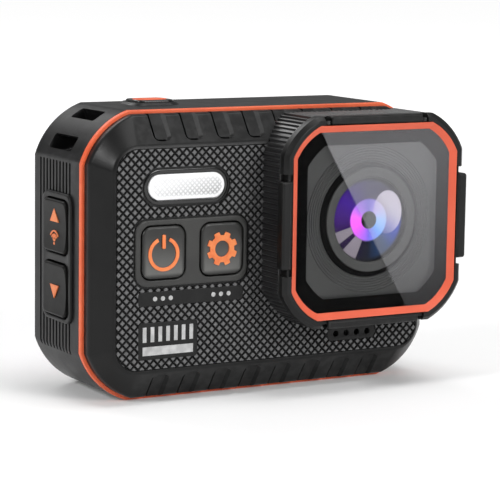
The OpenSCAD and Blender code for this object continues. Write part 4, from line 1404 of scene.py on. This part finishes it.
@dataclass
class LensBlock:
    """The ribbed barrel with the plate, ring and dome in its mouth."""

    ribs: int = 144
    rib_depth: float = 0.32
    grooves: int = 6
    groove_radius: float = 12.9
    groove_step: float = 0.45
    groove_width: float = 0.16
    recess: float = 0.6
    ring_radius: float = 9.2
    ring_lift: float = 0.8
    dome_sag: float = 0.55
    dome_lift: float = 0.12

    def build(self) -> None:
        """Builds every piece of the lens block."""
        self.barrel()
        self.front_plate()
        self.ring()
        self.dome()

    def barrel(self) -> None:
        """Builds the barrel: ribs, flange, neck and the recess for the lens."""
        low, high = BARREL_LOW.y, BARREL_HIGH.y
        steps = 4 * self.ribs
        half = (BARREL_HIGH.x - BARREL_LOW.x) / 2
        flange = low + 0.5
        around = evenly(octagon(half), steps)
        smooth = [(p.x, p.y) for p, _ in around]
        ribbed = [
            tuple(point - normal * (self.rib_depth if i % 4 in (2, 3) else 0.0))
            for i, (point, normal) in enumerate(around)
        ]
        sections = [(high, ribbed), (flange + 0.35, ribbed), (flange + 0.2, smooth), (flange + 0.08, smooth)]
        sections += [(flange, self.inset(around, 0.1))]
        for y, size in ((flange, 15.85), (low + 0.06, 15.85), (low, 15.75), (low, 15.15), (low + 1.2, 15.15)):
            sections.append((y, [(p.x, p.y) for p, _ in evenly(octagon(size), steps)]))
        bore = [self.onto_circle(p, 10.2) for p in sections[-1][1]]
        sections += [(low + 1.2, bore), (low + 2.6, bore)]
        shell = Blank("lens_barrel_ribs", loft(sections))
        hollow = plate(circle(13.6, LENS, 96), [], low + 2.2, high + 1)
        shell.carve(Blank("hollow", hollow))
        shell.place(RIBBED, "shell_black", "lens_barrel")

    @staticmethod
    def inset(around: list[tuple[Vector, Vector]], by: float) -> Loop:
        """Draws walked points in along their normals."""
        return [tuple(point - normal * by) for point, normal in around]

    @staticmethod
    def onto_circle(point: Point, radius: float) -> Point:
        """Moves a point straight to a circle about the lens axis."""
        way = (Vector(point) - Vector(LENS)).normalized() * radius
        return LENS[0] + way.x, LENS[1] + way.y

    def front_plate(self) -> None:
        """Builds the grey plate with its fine circular grooves."""
        low, high = node_box("lens_plate")
        edge = self.groove_radius + 0.1
        face = low.y + self.recess
        outer = plate(octagon(15.1), [circle(edge, LENS, 120)], face, high.y)
        profile = [(edge, high.y), (edge, face)]
        width = self.groove_width
        for i in range(self.grooves):
            radius = self.groove_radius - i * self.groove_step
            profile += [
                (radius, face), (radius - 0.04, face + 0.12), (radius - width + 0.04, face + 0.12),
                (radius - width, face),
            ]
        profile += [(10.3, face), (10.2, face + 0.1), (10.2, high.y), (edge, high.y)]
        Blank("lens_plate_grooved", outer, turned(profile, LENS, 120)).place(
            LENS_GREY, "lens_grey", "lens_plate"
        )

    def ring(self) -> None:
        """Builds the ring that holds the dome, and the dark well round it, which is coloured near-black as
        painted shade in the gap.
        """
        low, high = node_box("lens_ring")
        front = low.y - self.ring_lift
        face = node_box("lens_plate")[0].y + self.recess
        inner, outer = LENS_GLASS_RADIUS, self.ring_radius
        profile = [
            (inner, high.y), (inner, front + 0.3), (7.62, front + 0.12), (7.8, front + 0.06), (9.0, front),
            (9.15, front + 0.05), (outer, front + 0.2), (outer, high.y), (inner, high.y),
        ]
        Blank("lens_ring_turned", turned(profile, LENS, 120)).place(LENS_GREY, "lens_grey", "lens_ring")
        cone = [
            (outer, front + 0.22), (9.32, front + 0.28), (10.1, face), (10.15, face + 0.1), (10.15, high.y),
            (outer, high.y), (outer, front + 0.22),
        ]
        # The well takes near-black print: painted shade in the gap round the ring.
        Blank("lens_well_shade", turned(cone, LENS, 96)).place(INK, "housing_black")

    def dome(self) -> None:
        """Builds the domed front element with its coatings."""
        low, high = node_box("lens_front_element")
        radius, sag = LENS_GLASS_RADIUS, self.dome_sag
        low.y -= self.dome_lift
        bend = (radius**2 + sag**2) / (2 * sag)
        profile = [(0.0, high.y), (radius, high.y), (radius, low.y + sag)]
        profile += [
            (share * radius, low.y + bend - math.sqrt(bend**2 - (share * radius) ** 2))
            for share in (0.94, 0.86, 0.76, 0.64, 0.5, 0.35, 0.2, 0.0)
        ]
        Blank("lens_dome", turned(profile, LENS, 96)).place(
            LensCoatingPaintedLight("lens_coating_painted_light"), "lens_glass", "lens_front_element"
        )


@dataclass
class LensCover:
    """The pull-off cover: frame with raised plates, coloured ring, glass and seal."""

    chamfer: float = 0.7
    notch: float = 1.2
    side_half: float = 7.6
    level_half: float = 9.4
    pane_y: float = GLASS_LOW.y + 0.25

    def build(self) -> None:
        """Builds every piece of the cover."""
        self.frame_piece()
        self.ring()
        self.glass()

    def frame_piece(self) -> None:
        """Builds the frame, its four raised plates and the notches at their ends."""
        front, back, cut = GLASS_LOW.y - 0.5, COVER_HIGH.y, self.chamfer
        half = OCTAGON_HALF
        body = loft([
            (back, octagon(half - 0.15)), (back - 0.15, octagon(half)), (front + cut + 0.1, octagon(half)),
            (front + cut, octagon(half - 0.02)), (front + 0.05, octagon(half - cut + 0.05)),
            (front, octagon(half - cut - 0.05)), (front, octagon(16.95)),
            (self.pane_y, octagon(16.95)), (self.pane_y, octagon(16.5)), (GLASS_HIGH.y, octagon(16.5)),
            (GLASS_HIGH.y, octagon(16.0)), (back, octagon(16.0)),
        ], closed_ring=True)
        frame_blank = Blank("cover_frame_rim", body)
        tools = self.notch_tools(front)
        deep, shallow = tools[::2], tools[1::2]
        frame_blank.carve(Blank("deep_notches", *deep), Blank("shallow_notches", *shallow))
        frame_blank.round_edges(0.1, 50)
        plates = [self.side_plate(side) for side in (-1, 1)] + [self.level_plate(side) for side in (-1, 1)]
        frame_blank.place(SHELL, "shell_black", "cover_frame", body="lens_cover")
        Blank("cover_plates", *plates).place(SHELL, "shell_black", body="lens_cover")

    def notch_tools(self, front: float) -> list[Solid]:
        """Makes the cutters for the notches at the ends of the plates."""
        tools = []
        half, wide, near = self.notch / 2, 0.7, front - 1
        for side in (-1, 1):
            for end in (-1, 1):
                x = LENS[0] + end * (self.level_half + half)
                z = LENS[1] + end * (self.side_half + half)
                cuts = [(side * out, front + depth) for out, depth in ((18.4, 2.2), (17.75, 0.5))]
                for edge, far in ((LENS[0] + out, far) for out, far in cuts):
                    tools.append(box_solid((edge - wide, near, z - half), (edge + wide, far, z + half)))
                for edge, far in ((LENS[1] + out, far) for out, far in cuts):
                    tools.append(box_solid((x - half, near, edge - wide), (x + half, far, edge + wide)))
        return tools

    def side_plate(self, side: int) -> Solid:
        """Makes one raised plate that wraps the left or right edge of the frame."""
        reach = LENS[0] + side * (COVER_HIGH.x - COVER_LOW.x) / 2
        root = LENS[0] + side * 17.3
        half = self.side_half
        low = (min(reach, root), COVER_LOW.y, LENS[1] - half)
        mesh = box_solid(low, (max(reach, root), BARREL_LOW.y + 0.3, LENS[1] + half))
        soften(mesh, 0.5, 4, lambda spot: abs(spot.x - reach) < 0.1 or spot.y < COVER_LOW.y + 0.1)
        return mesh

    def level_plate(self, side: int) -> Solid:
        """Makes one raised plate on the top or bottom edge of the frame."""
        reach = LENS[1] + side * OCTAGON_HALF
        root = LENS[1] + side * 17.2
        front, half = GLASS_LOW.y - 0.65, self.level_half
        low = (LENS[0] - half, front, min(reach, root))
        mesh = box_solid(low, (LENS[0] + half, front + 1.6, max(reach, root)))
        soften(mesh, 0.35, 3, lambda spot: abs(spot.z - reach) < 0.1 or spot.y < front + 0.1)
        return mesh

    def ring(self) -> None:
        """Builds the coloured ring, which slopes in towards the glass."""
        low, _ = node_box("cover_ring")
        sections = [
            (self.pane_y, octagon(16.93)), (low.y + 0.02, octagon(16.93)), (low.y - 0.03, octagon(16.88)),
            (low.y, octagon(16.76)), (self.pane_y - 0.04, octagon(15.76)), (self.pane_y, octagon(15.72)),
        ]
        Blank("cover_ring_band", loft(sections, closed_ring=True)).place(
            RING_TRIM, "orange_trim", "cover_ring", body="lens_cover"
        )

    def glass(self) -> None:
        """Builds the clear pane, the black print behind it and the seal."""
        pane = plate(octagon(16.45), [], self.pane_y + 0.01, GLASS_HIGH.y)
        clear = CoverGlass("cover_clear")
        Blank("cover_pane", pane).place(clear, "cover_clear", "cover_glass", body="lens_cover")
        window = Bulged(26.8, 26.8, 3.6, 12.5, LENS).loop()
        border = plate(octagon(15.95), [window], GLASS_HIGH.y, GLASS_HIGH.y + 0.05)
        Blank("cover_print", border).place(INK, "housing_black", body="lens_cover")
        low, high = node_box("cover_seal")
        seal = loft([
            (high.y, octagon(15.95)), (low.y + 0.1, octagon(15.95)), (low.y + 0.1, octagon(15.2)),
            (high.y - 0.15, octagon(15.15)), (high.y, octagon(15.3)),
        ], closed_ring=True)
        Blank("cover_seal_lip", seal).place(RUBBER, "seal_rubber", "cover_seal", body="lens_cover")


# ------------------------------------------------------------------ back


@dataclass(frozen=True)
class MountainView(Finish):
    """The picture on the display: snowy peaks at dusk, lit from within.

    Attributes:
        left: X of the picture's left side as seen from behind, in metres.
        width: Width of the picture.
        bottom: Z of its lower side.
        height: Height of the picture.
    """

    left: float
    width: float
    bottom: float
    height: float

    def write(self, nodes: Nodes) -> None:
        """Writes the finish's own nodes."""
        x, _, z = nodes.split()
        across = (self.left - x) / self.width
        above = (z - self.bottom) / self.height
        tone = self.sky(nodes, across, above)
        tone = self.peaks(nodes, across, above, tone)
        tone = self.slope(nodes, across, above, tone)
        tone = self.forest(nodes, across, above, tone)
        nodes.set(
            Base_Color=nodes.mix(0.9, tone, (0.0, 0.0, 0.0)), Roughness=0.4, Specular_IOR_Level=0.05,
            Emission_Color=tone, Emission_Strength=1.5,
        )

    def line(self, nodes: Nodes, across: Value, heights: Sequence[Point], rough: float, seed: float) -> Value:
        """Gives the height of a ridge line.

        Args:
            nodes: The material being written.
            across: Place from left to right, from 0 to 1.
            heights: Place and height of each stop.
            rough: How jagged the line is.
            seed: Picks the jags.

        Returns:
            The height, from 0 to 1.
        """
        base = nodes.ramp(across, *((place, (height, height, height)) for place, height in heights))
        jag = nodes.noise(9.0, 8.0, 0.62, nodes.vector(across, seed)) - 0.5
        return base + jag * rough

    def below(self, nodes: Nodes, above: Value, line: Value) -> Value:
        """Gives 1 below a ridge line and 0 above it."""
        return nodes.span(line - above, -0.002, 0.002)

    def sky(self, nodes: Nodes, across: Value, above: Value) -> Value:
        """Paints the evening sky."""
        tone = nodes.ramp(
            above, (0.15, (0.12, 0.36, 0.72)), (0.45, (0.15, 0.27, 0.58)), (0.75, (0.12, 0.18, 0.43)),
            (1.0, (0.075, 0.14, 0.38)),
        )
        noise = nodes.noise(2.6, 4.0, 0.55, nodes.vector(across, above))
        cloud = nodes.span(noise, 0.48, 0.72, 0.0, 0.45, smooth=True)
        return nodes.mix(cloud, tone, (0.42, 0.33, 0.46))

    def peaks(self, nodes: Nodes, across: Value, above: Value, tone: Value) -> Value:
        """Paints the far peaks: snow and rock in warm light, with blue shade."""
        heights = (
            (0.0, -0.4), (0.36, -0.4), (0.41, 0.30), (0.53, 0.55), (0.60, 0.70), (0.70, 0.82), (0.78, 0.80),
            (0.86, 0.78), (0.94, 0.88), (1.0, 0.90),
        )
        ridge = self.line(nodes, across, heights, 0.12, 3.7)
        spot = nodes.vector(across + above * -0.35, above * 0.8, 4.0)
        broad = nodes.noise(5.0, 5.0, 0.6, spot)
        fine = nodes.noise(26.0, 9.0, 0.7, spot)
        lit = nodes.ramp(
            fine, (0.36, (0.16, 0.04, 0.02)), (0.45, (0.62, 0.17, 0.07)), (0.52, (0.86, 0.36, 0.24)),
            (0.60, (0.98, 0.66, 0.55)),
        )
        shade = nodes.ramp(
            fine, (0.40, (0.05, 0.06, 0.13)), (0.52, (0.17, 0.17, 0.36)), (0.62, (0.42, 0.42, 0.68))
        )
        warm = nodes.span(broad, 0.53, 0.47)
        face = nodes.mix(warm, shade, lit)
        low = nodes.span(above, 0.30, 0.42, smooth=True)
        rocks = nodes.ramp(
            fine, (0.42, (0.02, 0.02, 0.05)), (0.55, (0.35, 0.12, 0.08)), (0.64, (0.8, 0.45, 0.33))
        )
        return nodes.mix(self.below(nodes, above, ridge), tone, nodes.mix(low, rocks, face))

    def slope(self, nodes: Nodes, across: Value, above: Value, tone: Value) -> Value:
        """Paints the nearer snowy slope in blue shade."""
        heights = (
            (0.0, 0.20), (0.10, 0.21), (0.22, 0.27), (0.30, 0.38), (0.38, 0.48), (0.45, 0.46), (0.55, 0.34),
            (0.70, 0.20), (0.85, 0.12),
        )
        ridge = self.line(nodes, across, heights, 0.13, 9.1)
        fine = nodes.noise(17.0, 9.0, 0.74, nodes.vector(across, above * 1.6 + across * 0.5, 8.0))
        snow = nodes.ramp(
            fine, (0.40, (0.03, 0.04, 0.10)), (0.48, (0.14, 0.17, 0.32)), (0.55, (0.38, 0.43, 0.66)),
            (0.66, (0.62, 0.66, 0.86)),
        )
        return nodes.mix(self.below(nodes, above, ridge), tone, snow)

    def forest(self, nodes: Nodes, across: Value, above: Value, tone: Value) -> Value:
        """Paints the dark wooded ridge at the lower right."""
        heights = ((0.52, -0.06), (0.60, 0.02), (0.70, 0.13), (0.80, 0.20), (0.90, 0.27), (1.0, 0.33))
        ridge = self.line(nodes, across, heights, 0.05, 5.3)
        noise = nodes.noise(30.0, 4.0, 0.7, nodes.vector(across * 3.0, above, 2.0))
        trees = nodes.ramp(noise, (0.4, (0.001, 0.0015, 0.005)), (0.65, (0.009, 0.013, 0.032)))
        return nodes.mix(self.below(nodes, above, ridge), tone, trees)


@dataclass(frozen=True)
class ScreenGlass(Finish):
    """Clear display glass with a painted sheen: a pale painted reflection on one side of a slanting line.

    Attributes:
        place: X and Z of a point on the line, in metres.
        way: Direction towards the sheen.
    """

    place: Point
    way: Point = (0.9925, 0.122)

    def write(self, nodes: Nodes) -> None:
        """Writes the finish's own nodes."""
        x, _, z = nodes.split()
        beyond = (x - self.place[0]) * self.way[0] + (z - self.place[1]) * self.way[1]
        # Painted reflection: a pale veil beside the line, stronger near it and towards the top.
        sheen = nodes.span(beyond, -0.00005, 0.00005)
        fade = nodes.span(beyond, 0.0, 0.032, 0.36, 0.08) + nodes.span(z, 0.002, 0.048, -0.05, 0.08)
        share = sheen * fade + 0.006
        nodes.set(Base_Color=(0.55, 0.56, 0.54), Roughness=0.3, Specular_IOR_Level=0.1, Alpha=share)


@dataclass(frozen=True)
class IndicatorBlue(Finish):
    """A blue window, lit from behind and paler towards its top.

    Attributes:
        bottom: Z of its lower end, in metres.
        top: Z of its upper end, in metres.
    """

    bottom: float
    top: float

    def write(self, nodes: Nodes) -> None:
        """Writes the finish's own nodes."""
        _, _, z = nodes.split()
        share = nodes.span(z, self.bottom, self.top)
        deep, pale = (0.0, (0.05, 0.16, 0.75)), (1.0, (0.16, 0.36, 1.0))
        tone = nodes.ramp(share, deep, (0.5, (0.10, 0.27, 0.95)), pale)
        nodes.set(Base_Color=tone, Roughness=0.2, Emission_Color=tone, Emission_Strength=0.6)


@dataclass
class BackFace:
    """The back frame, display, coloured ring and knurled grip strip."""

    lcd: tuple[float, float] = (48.8, 37.0)
    band: float = 0.75
    pitch: float = 0.865
    groove: float = 0.28

    def build(self) -> None:
        """Builds every piece of the back."""
        self.back_frame()
        self.strip()
        self.screen_ring()
        self.screen()
        self.indicator()

    @property
    def centre(self) -> Point:
        """Middle of the screen, mirrored into the frame of a piece that faces backwards."""
        return -SCREEN.centre[0], MIDDLE_Z

    def back_frame(self) -> None:
        """Builds the frame with its sloping rim and its pockets."""
        low, high = node_box("back_frame")
        sections = [(low.y, BODY.loop()), (low.y + 1.3, BODY.loop())]
        slope = Bulged(BODY.width - 3.8, BODY.height - 5.2, 8.2, 13.8, BODY.centre)
        sections.append((high.y - 0.12, self.between(BODY.loop(), slope.loop(), 0.93)))
        sections.append((high.y, slope.loop(0.12)))
        rim = Blank("back_frame_rim", loft(sections))
        pocket = plate(SCREEN.loop(), [], node_box("screen_ring")[0].y, high.y + 1)
        window = plate(rounded(54.4, 40, 1.5, SCREEN.centre), [], low.y - 1, high.y)
        strip = Blank("strip", plate(self.strip_region(0.0), [], high.y - 0.8, high.y + 1))
        strip.carve(Blank("screen", plate(SCREEN.loop(-0.4), [], high.y - 2, high.y + 2)))
        rim.carve(Blank("pocket", pocket), Blank("window", window), strip)
        rim.round_edges(0.12, 30)
        rim.place(HOUSING, "housing_black", "back_frame")

    @staticmethod
    def between(first: Loop, second: Loop, share: float) -> Loop:
        """Mixes two outlines that have the same number of points."""
        return [(a[0] + (b[0] - a[0]) * share, a[1] + (b[1] - a[1]) * share) for a, b in zip(first, second)]

    def strip_region(self, shrink: float) -> Loop:
        """Gives the part of the back's outline that lies left of the screen."""
        outline = Bulged(BODY.width, BODY.height - 1.6, 8.8, 13.8, BODY.centre).loop(2.6 + shrink)
        edge = -22.6 - shrink
        low = min(z for _, z in outline)
        high = max(z for _, z in outline)
        kept = [(x, z) for x, z in outline if x < edge]
        return [(edge, high), *kept, (edge, low)]

    def strip(self) -> None:
        """Builds the knurled grip strip."""
        _, high = node_box("grip_strip")
        centre = (-28.0, MIDDLE_Z)
        slab = knurled_slab(58, self.pitch, (-centre[0], centre[1]), -high.y, self.groove, 0.4)
        move(slab, Turn.BACK.matrix())
        strip = Blank("grip_strip_knurl", slab)
        strip.carve(Blank("keep", plate(self.strip_region(0.06), [], high.y - 0.6, high.y + 1)),
                    operation="INTERSECT", solver="MANIFOLD")
        strip.carve(Blank("screen", plate(SCREEN.loop(-0.46), [], high.y - 2, high.y + 2)), solver="MANIFOLD")
        strip.place(STRIP, "knurled_black", "grip_strip", smooth=False)

    def screen_ring(self) -> None:
        """Builds the coloured ring round the screen."""
        low, high, band = RING_LOW.y, RING_HIGH.y, self.band
        insets = (
            (low, 0.02), (high - 0.12, 0.02), (high, 0.14),
            (high, band - 0.12), (high - 0.12, band), (low, band),
        )
        sections = [(y, SCREEN.loop(inset)) for y, inset in insets]
        Blank("screen_ring_band", loft(sections, closed_ring=True)).place(
            SCREEN_TRIM, "screen_orange", "screen_ring"
        )

    def screen(self) -> None:
        """Builds the glass, the black border behind it and the lit display."""
        low, high = node_box("screen_glass")
        turn = Turn.BACK
        mirror = Bulged(SCREEN.width, SCREEN.height, SCREEN.cut, SCREEN.radius, self.centre)
        pane = plate(mirror.loop(self.band + 0.02), [], -high.y, -high.y + 0.3)
        centre_x = SCREEN.centre[0]
        glass = ScreenGlass("screen_clear", ((centre_x - 0.9) * MM, MIDDLE_Z * MM))
        Blank("screen_pane", pane).place(glass, "screen_clear", "screen_glass", turn=turn)
        lit = rounded(*self.lcd, 0.6, self.centre)
        border = plate(mirror.loop(self.band + 0.02), [lit], -high.y + 0.3, -high.y + 0.36)
        Blank("screen_print", border).place(INK, "screen_clear", turn=turn)
        width, height = self.lcd
        left, bottom = (centre_x + width / 2) * MM, (MIDDLE_Z - height / 2) * MM
        view = MountainView("mountain_view", left, width * MM, bottom, height * MM)
        face = plate(rounded(width + 0.6, height + 0.6, 0.6, self.centre), [], -high.y + 0.38, -low.y)
        Blank("display_picture", face).place(view, "display", turn=turn)

    def indicator(self) -> None:
        """Builds the blue indicator window."""
        low, high = node_box("indicator_window")
        x, z = face_middle("indicator_window")
        pill = plate(rounded(0.93, 2.15, 0.46, (-x, z)), [], -high.y - 0.02, -low.y)
        soften(pill, 0.08, 2)
        finish = IndicatorBlue("indicator_blue", low.z * MM, high.z * MM)
        Blank("indicator_pill", pill).place(finish, "indicator_blue", "indicator_window", turn=Turn.BACK)


# ------------------------------------------------------------------ port door and insides


class PortDoor:
    """The side door with its rounded hinge edge and inner plug."""

    def build(self) -> None:
        """Builds the door."""
        low, high = node_box("side_door")
        skin = high.x - 1.8
        hinge = middle("door_pin")
        leaf = box_solid((skin, low.y, low.z), (high.x, hinge.y, high.z))
        soften(leaf, 0.2, 3, lambda spot: spot.x > high.x - 0.1 and spot.y < hinge.y - 0.1)
        centre_z = (low.z + high.z) / 2
        barrel = upright(0.9, high.z - low.z, (hinge.x, hinge.y, centre_z), 40)
        soften(barrel, 0.12, 2)
        plug = box_solid((low.x, low.y + 1.9, low.z + 1.9), (skin + 0.1, hinge.y - 2.1, high.z - 1.9), 0.2)
        door = Blank("side_door_leaf", leaf)
        door.carve(Blank("barrel", barrel), Blank("plug", plug), operation="UNION")
        bore = upright(0.5, 60, (hinge.x, hinge.y, centre_z), 32)
        notch = upright(1.2, 6, (high.x + 0.6, low.y + 1, centre_z), 32)
        door.carve(Blank("bore", bore), Blank("notch", notch))
        door.place(HOUSING, "housing_black", "side_door", body="port_door")


class Insides:
    """Finishes for the CAD parts that stay as they are."""

    def dress(self) -> None:
        """Gives every CAD node that is shown its finish."""
        finishes = {
            HOUSING: ("port_bay", "lens_tube"),
            RUBBER: ("front_gasket", "back_gasket"),
            DOOR_RUBBER: ("door_seal",),
            PRINT_GREY: ("panel_marks",),
            BOARD: ("mic_board", "flash_board", "key_board", "side_key_board", "shutter_switch",
                            "sensor_board", "main_board"),
            STEEL: ("case_screws", "door_pin", "usb_socket", "hdmi_socket", "card_slot", "mic_mesh"),
            BRASS: ("tripod_bush",),
            BATTERY: ("battery_pack",),
            GLOSS: ("speaker", "lens_iris", "lcd_module"),
        }
        for finish, nodes in finishes.items():
            for node in nodes:
                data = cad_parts[node].data
                data.materials.clear()
                data.materials.append(finish.material())


# ------------------------------------------------------------------ studio


@dataclass
class Studio:
    """The pale floor, the soft lights and the camera."""

    azimuth: float = -30.082
    elevation: float = 8.299
    roll: float = 0.829
    distance: float = 388.789
    target: tuple[float, float, float] = (-1.584, -8.0, 24.703)
    focal: float = 159.0

    def build(self) -> None:
        """Sets up the floor, the world, the lights and the camera."""
        self.floor()
        self.world()
        self.lights()
        self.camera()

    def floor(self) -> None:
        """Lays a large pale floor under the camera, which brightens with distance."""
        mesh = bmesh.new()
        bmesh.ops.create_grid(mesh, x_segments=1, y_segments=1, size=6.0)
        data = bpy.data.meshes.new("floor")
        mesh.to_mesh(data)
        mesh.free()
        nodes = Nodes("studio_floor")
        x, y, _ = nodes.split()
        out = nodes.far(x, y)
        pale = nodes.ramp(nodes.noise(3.0, 2.0), (0.0, (0.86, 0.86, 0.86)), (1.0, (0.88, 0.88, 0.88)))
        glow = nodes.span(out, 0.05, 0.9, 0.1, 0.74, smooth=True)
        nodes.set(Base_Color=pale, Roughness=0.6, Emission_Color=(1.0, 1.0, 1.0), Emission_Strength=glow)
        data.materials.append(nodes.material)
        floor = bpy.data.objects.new("floor", data)
        bpy.context.scene.collection.objects.link(floor)

    def world(self) -> None:
        """Sets an even surround that looks pale to the camera and lights the model gently."""
        world = bpy.data.worlds.new("studio")
        world.use_nodes = True
        background = world.node_tree.nodes["Background"]
        background.inputs["Color"].default_value = (1.0, 1.0, 1.0, 1.0)
        path = world.node_tree.nodes.new("ShaderNodeLightPath")
        seen = world.node_tree.nodes.new("ShaderNodeMapRange")
        seen.inputs["To Min"].default_value = 0.26
        seen.inputs["To Max"].default_value = 0.97
        world.node_tree.links.new(path.outputs["Is Camera Ray"], seen.inputs["Value"])
        world.node_tree.links.new(seen.outputs["Result"], background.inputs["Strength"])
        bpy.context.scene.world = world
        bpy.context.scene.view_settings.view_transform = "Standard"

    def lights(self) -> None:
        """Hangs the soft lamps."""
        lamps = (
            ("key", (0.26, -0.72, 0.38), 0.30, 3.2), ("top", (0.12, -0.12, 0.70), 0.40, 2.6),
            ("left", (-0.62, -0.15, 0.46), 0.14, 2.2), ("back", (-0.10, 0.60, 0.62), 0.40, 2.0),
        )
        for lamp in lamps:
            self.lamp(*lamp)

    def lamp(self, name: str, place: tuple[float, float, float], size: float, power: float) -> None:
        """Hangs one square lamp that shines at the camera.

        Args:
            name: Its name.
            place: Where it hangs, in metres.
            size: Side of the lamp, in metres.
            power: Power in watts.
        """
        light = bpy.data.lights.new(name, "AREA")
        light.size = size
        light.energy = power
        lamp = bpy.data.objects.new(name, light)
        bpy.context.scene.collection.objects.link(lamp)
        lamp.location = place
        way = Vector((0, 0, MIDDLE_Z * MM)) - Vector(place)
        lamp.rotation_euler = way.to_track_quat("-Z", "Y").to_euler()

    def camera(self) -> None:
        """Sets the camera."""
        azimuth, elevation = math.radians(self.azimuth), math.radians(self.elevation)
        level = math.cos(elevation)
        back = Vector((math.sin(azimuth) * level, -math.cos(azimuth) * level, math.sin(elevation)))
        right = (-back).cross(Vector((0, 0, 1))).normalized()
        up = right.cross(-back)
        roll = math.radians(self.roll)
        turned_right = right * math.cos(roll) + up * math.sin(roll)
        turned_up = up * math.cos(roll) - right * math.sin(roll)
        lens = bpy.data.cameras.new("camera")
        lens.lens = self.focal
        lens.sensor_width = 36.0
        lens.clip_start = 0.01
        camera = bpy.data.objects.new("camera", lens)
        bpy.context.scene.collection.objects.link(camera)
        place = (Vector(self.target) + back * self.distance) * MM
        basis = Matrix((turned_right, turned_up, back)).transposed().to_4x4()
        camera.matrix_world = Matrix.Translation(place) @ basis
        bpy.context.scene.camera = camera


# ------------------------------------------------------------------ assembly


def main() -> None:
    """Builds the whole camera.
    """
    logging.basicConfig(level=logging.INFO, format="%(name)s: %(message)s")
    for part in (Housing, Front, SideKeys, Shutter, LensBlock, LensCover, BackFace, PortDoor):
        LOG.info("building %s", part.__name__)
        part().build()
    Insides().dress()
    Studio().build()


if __name__ == "__main__":
    main()
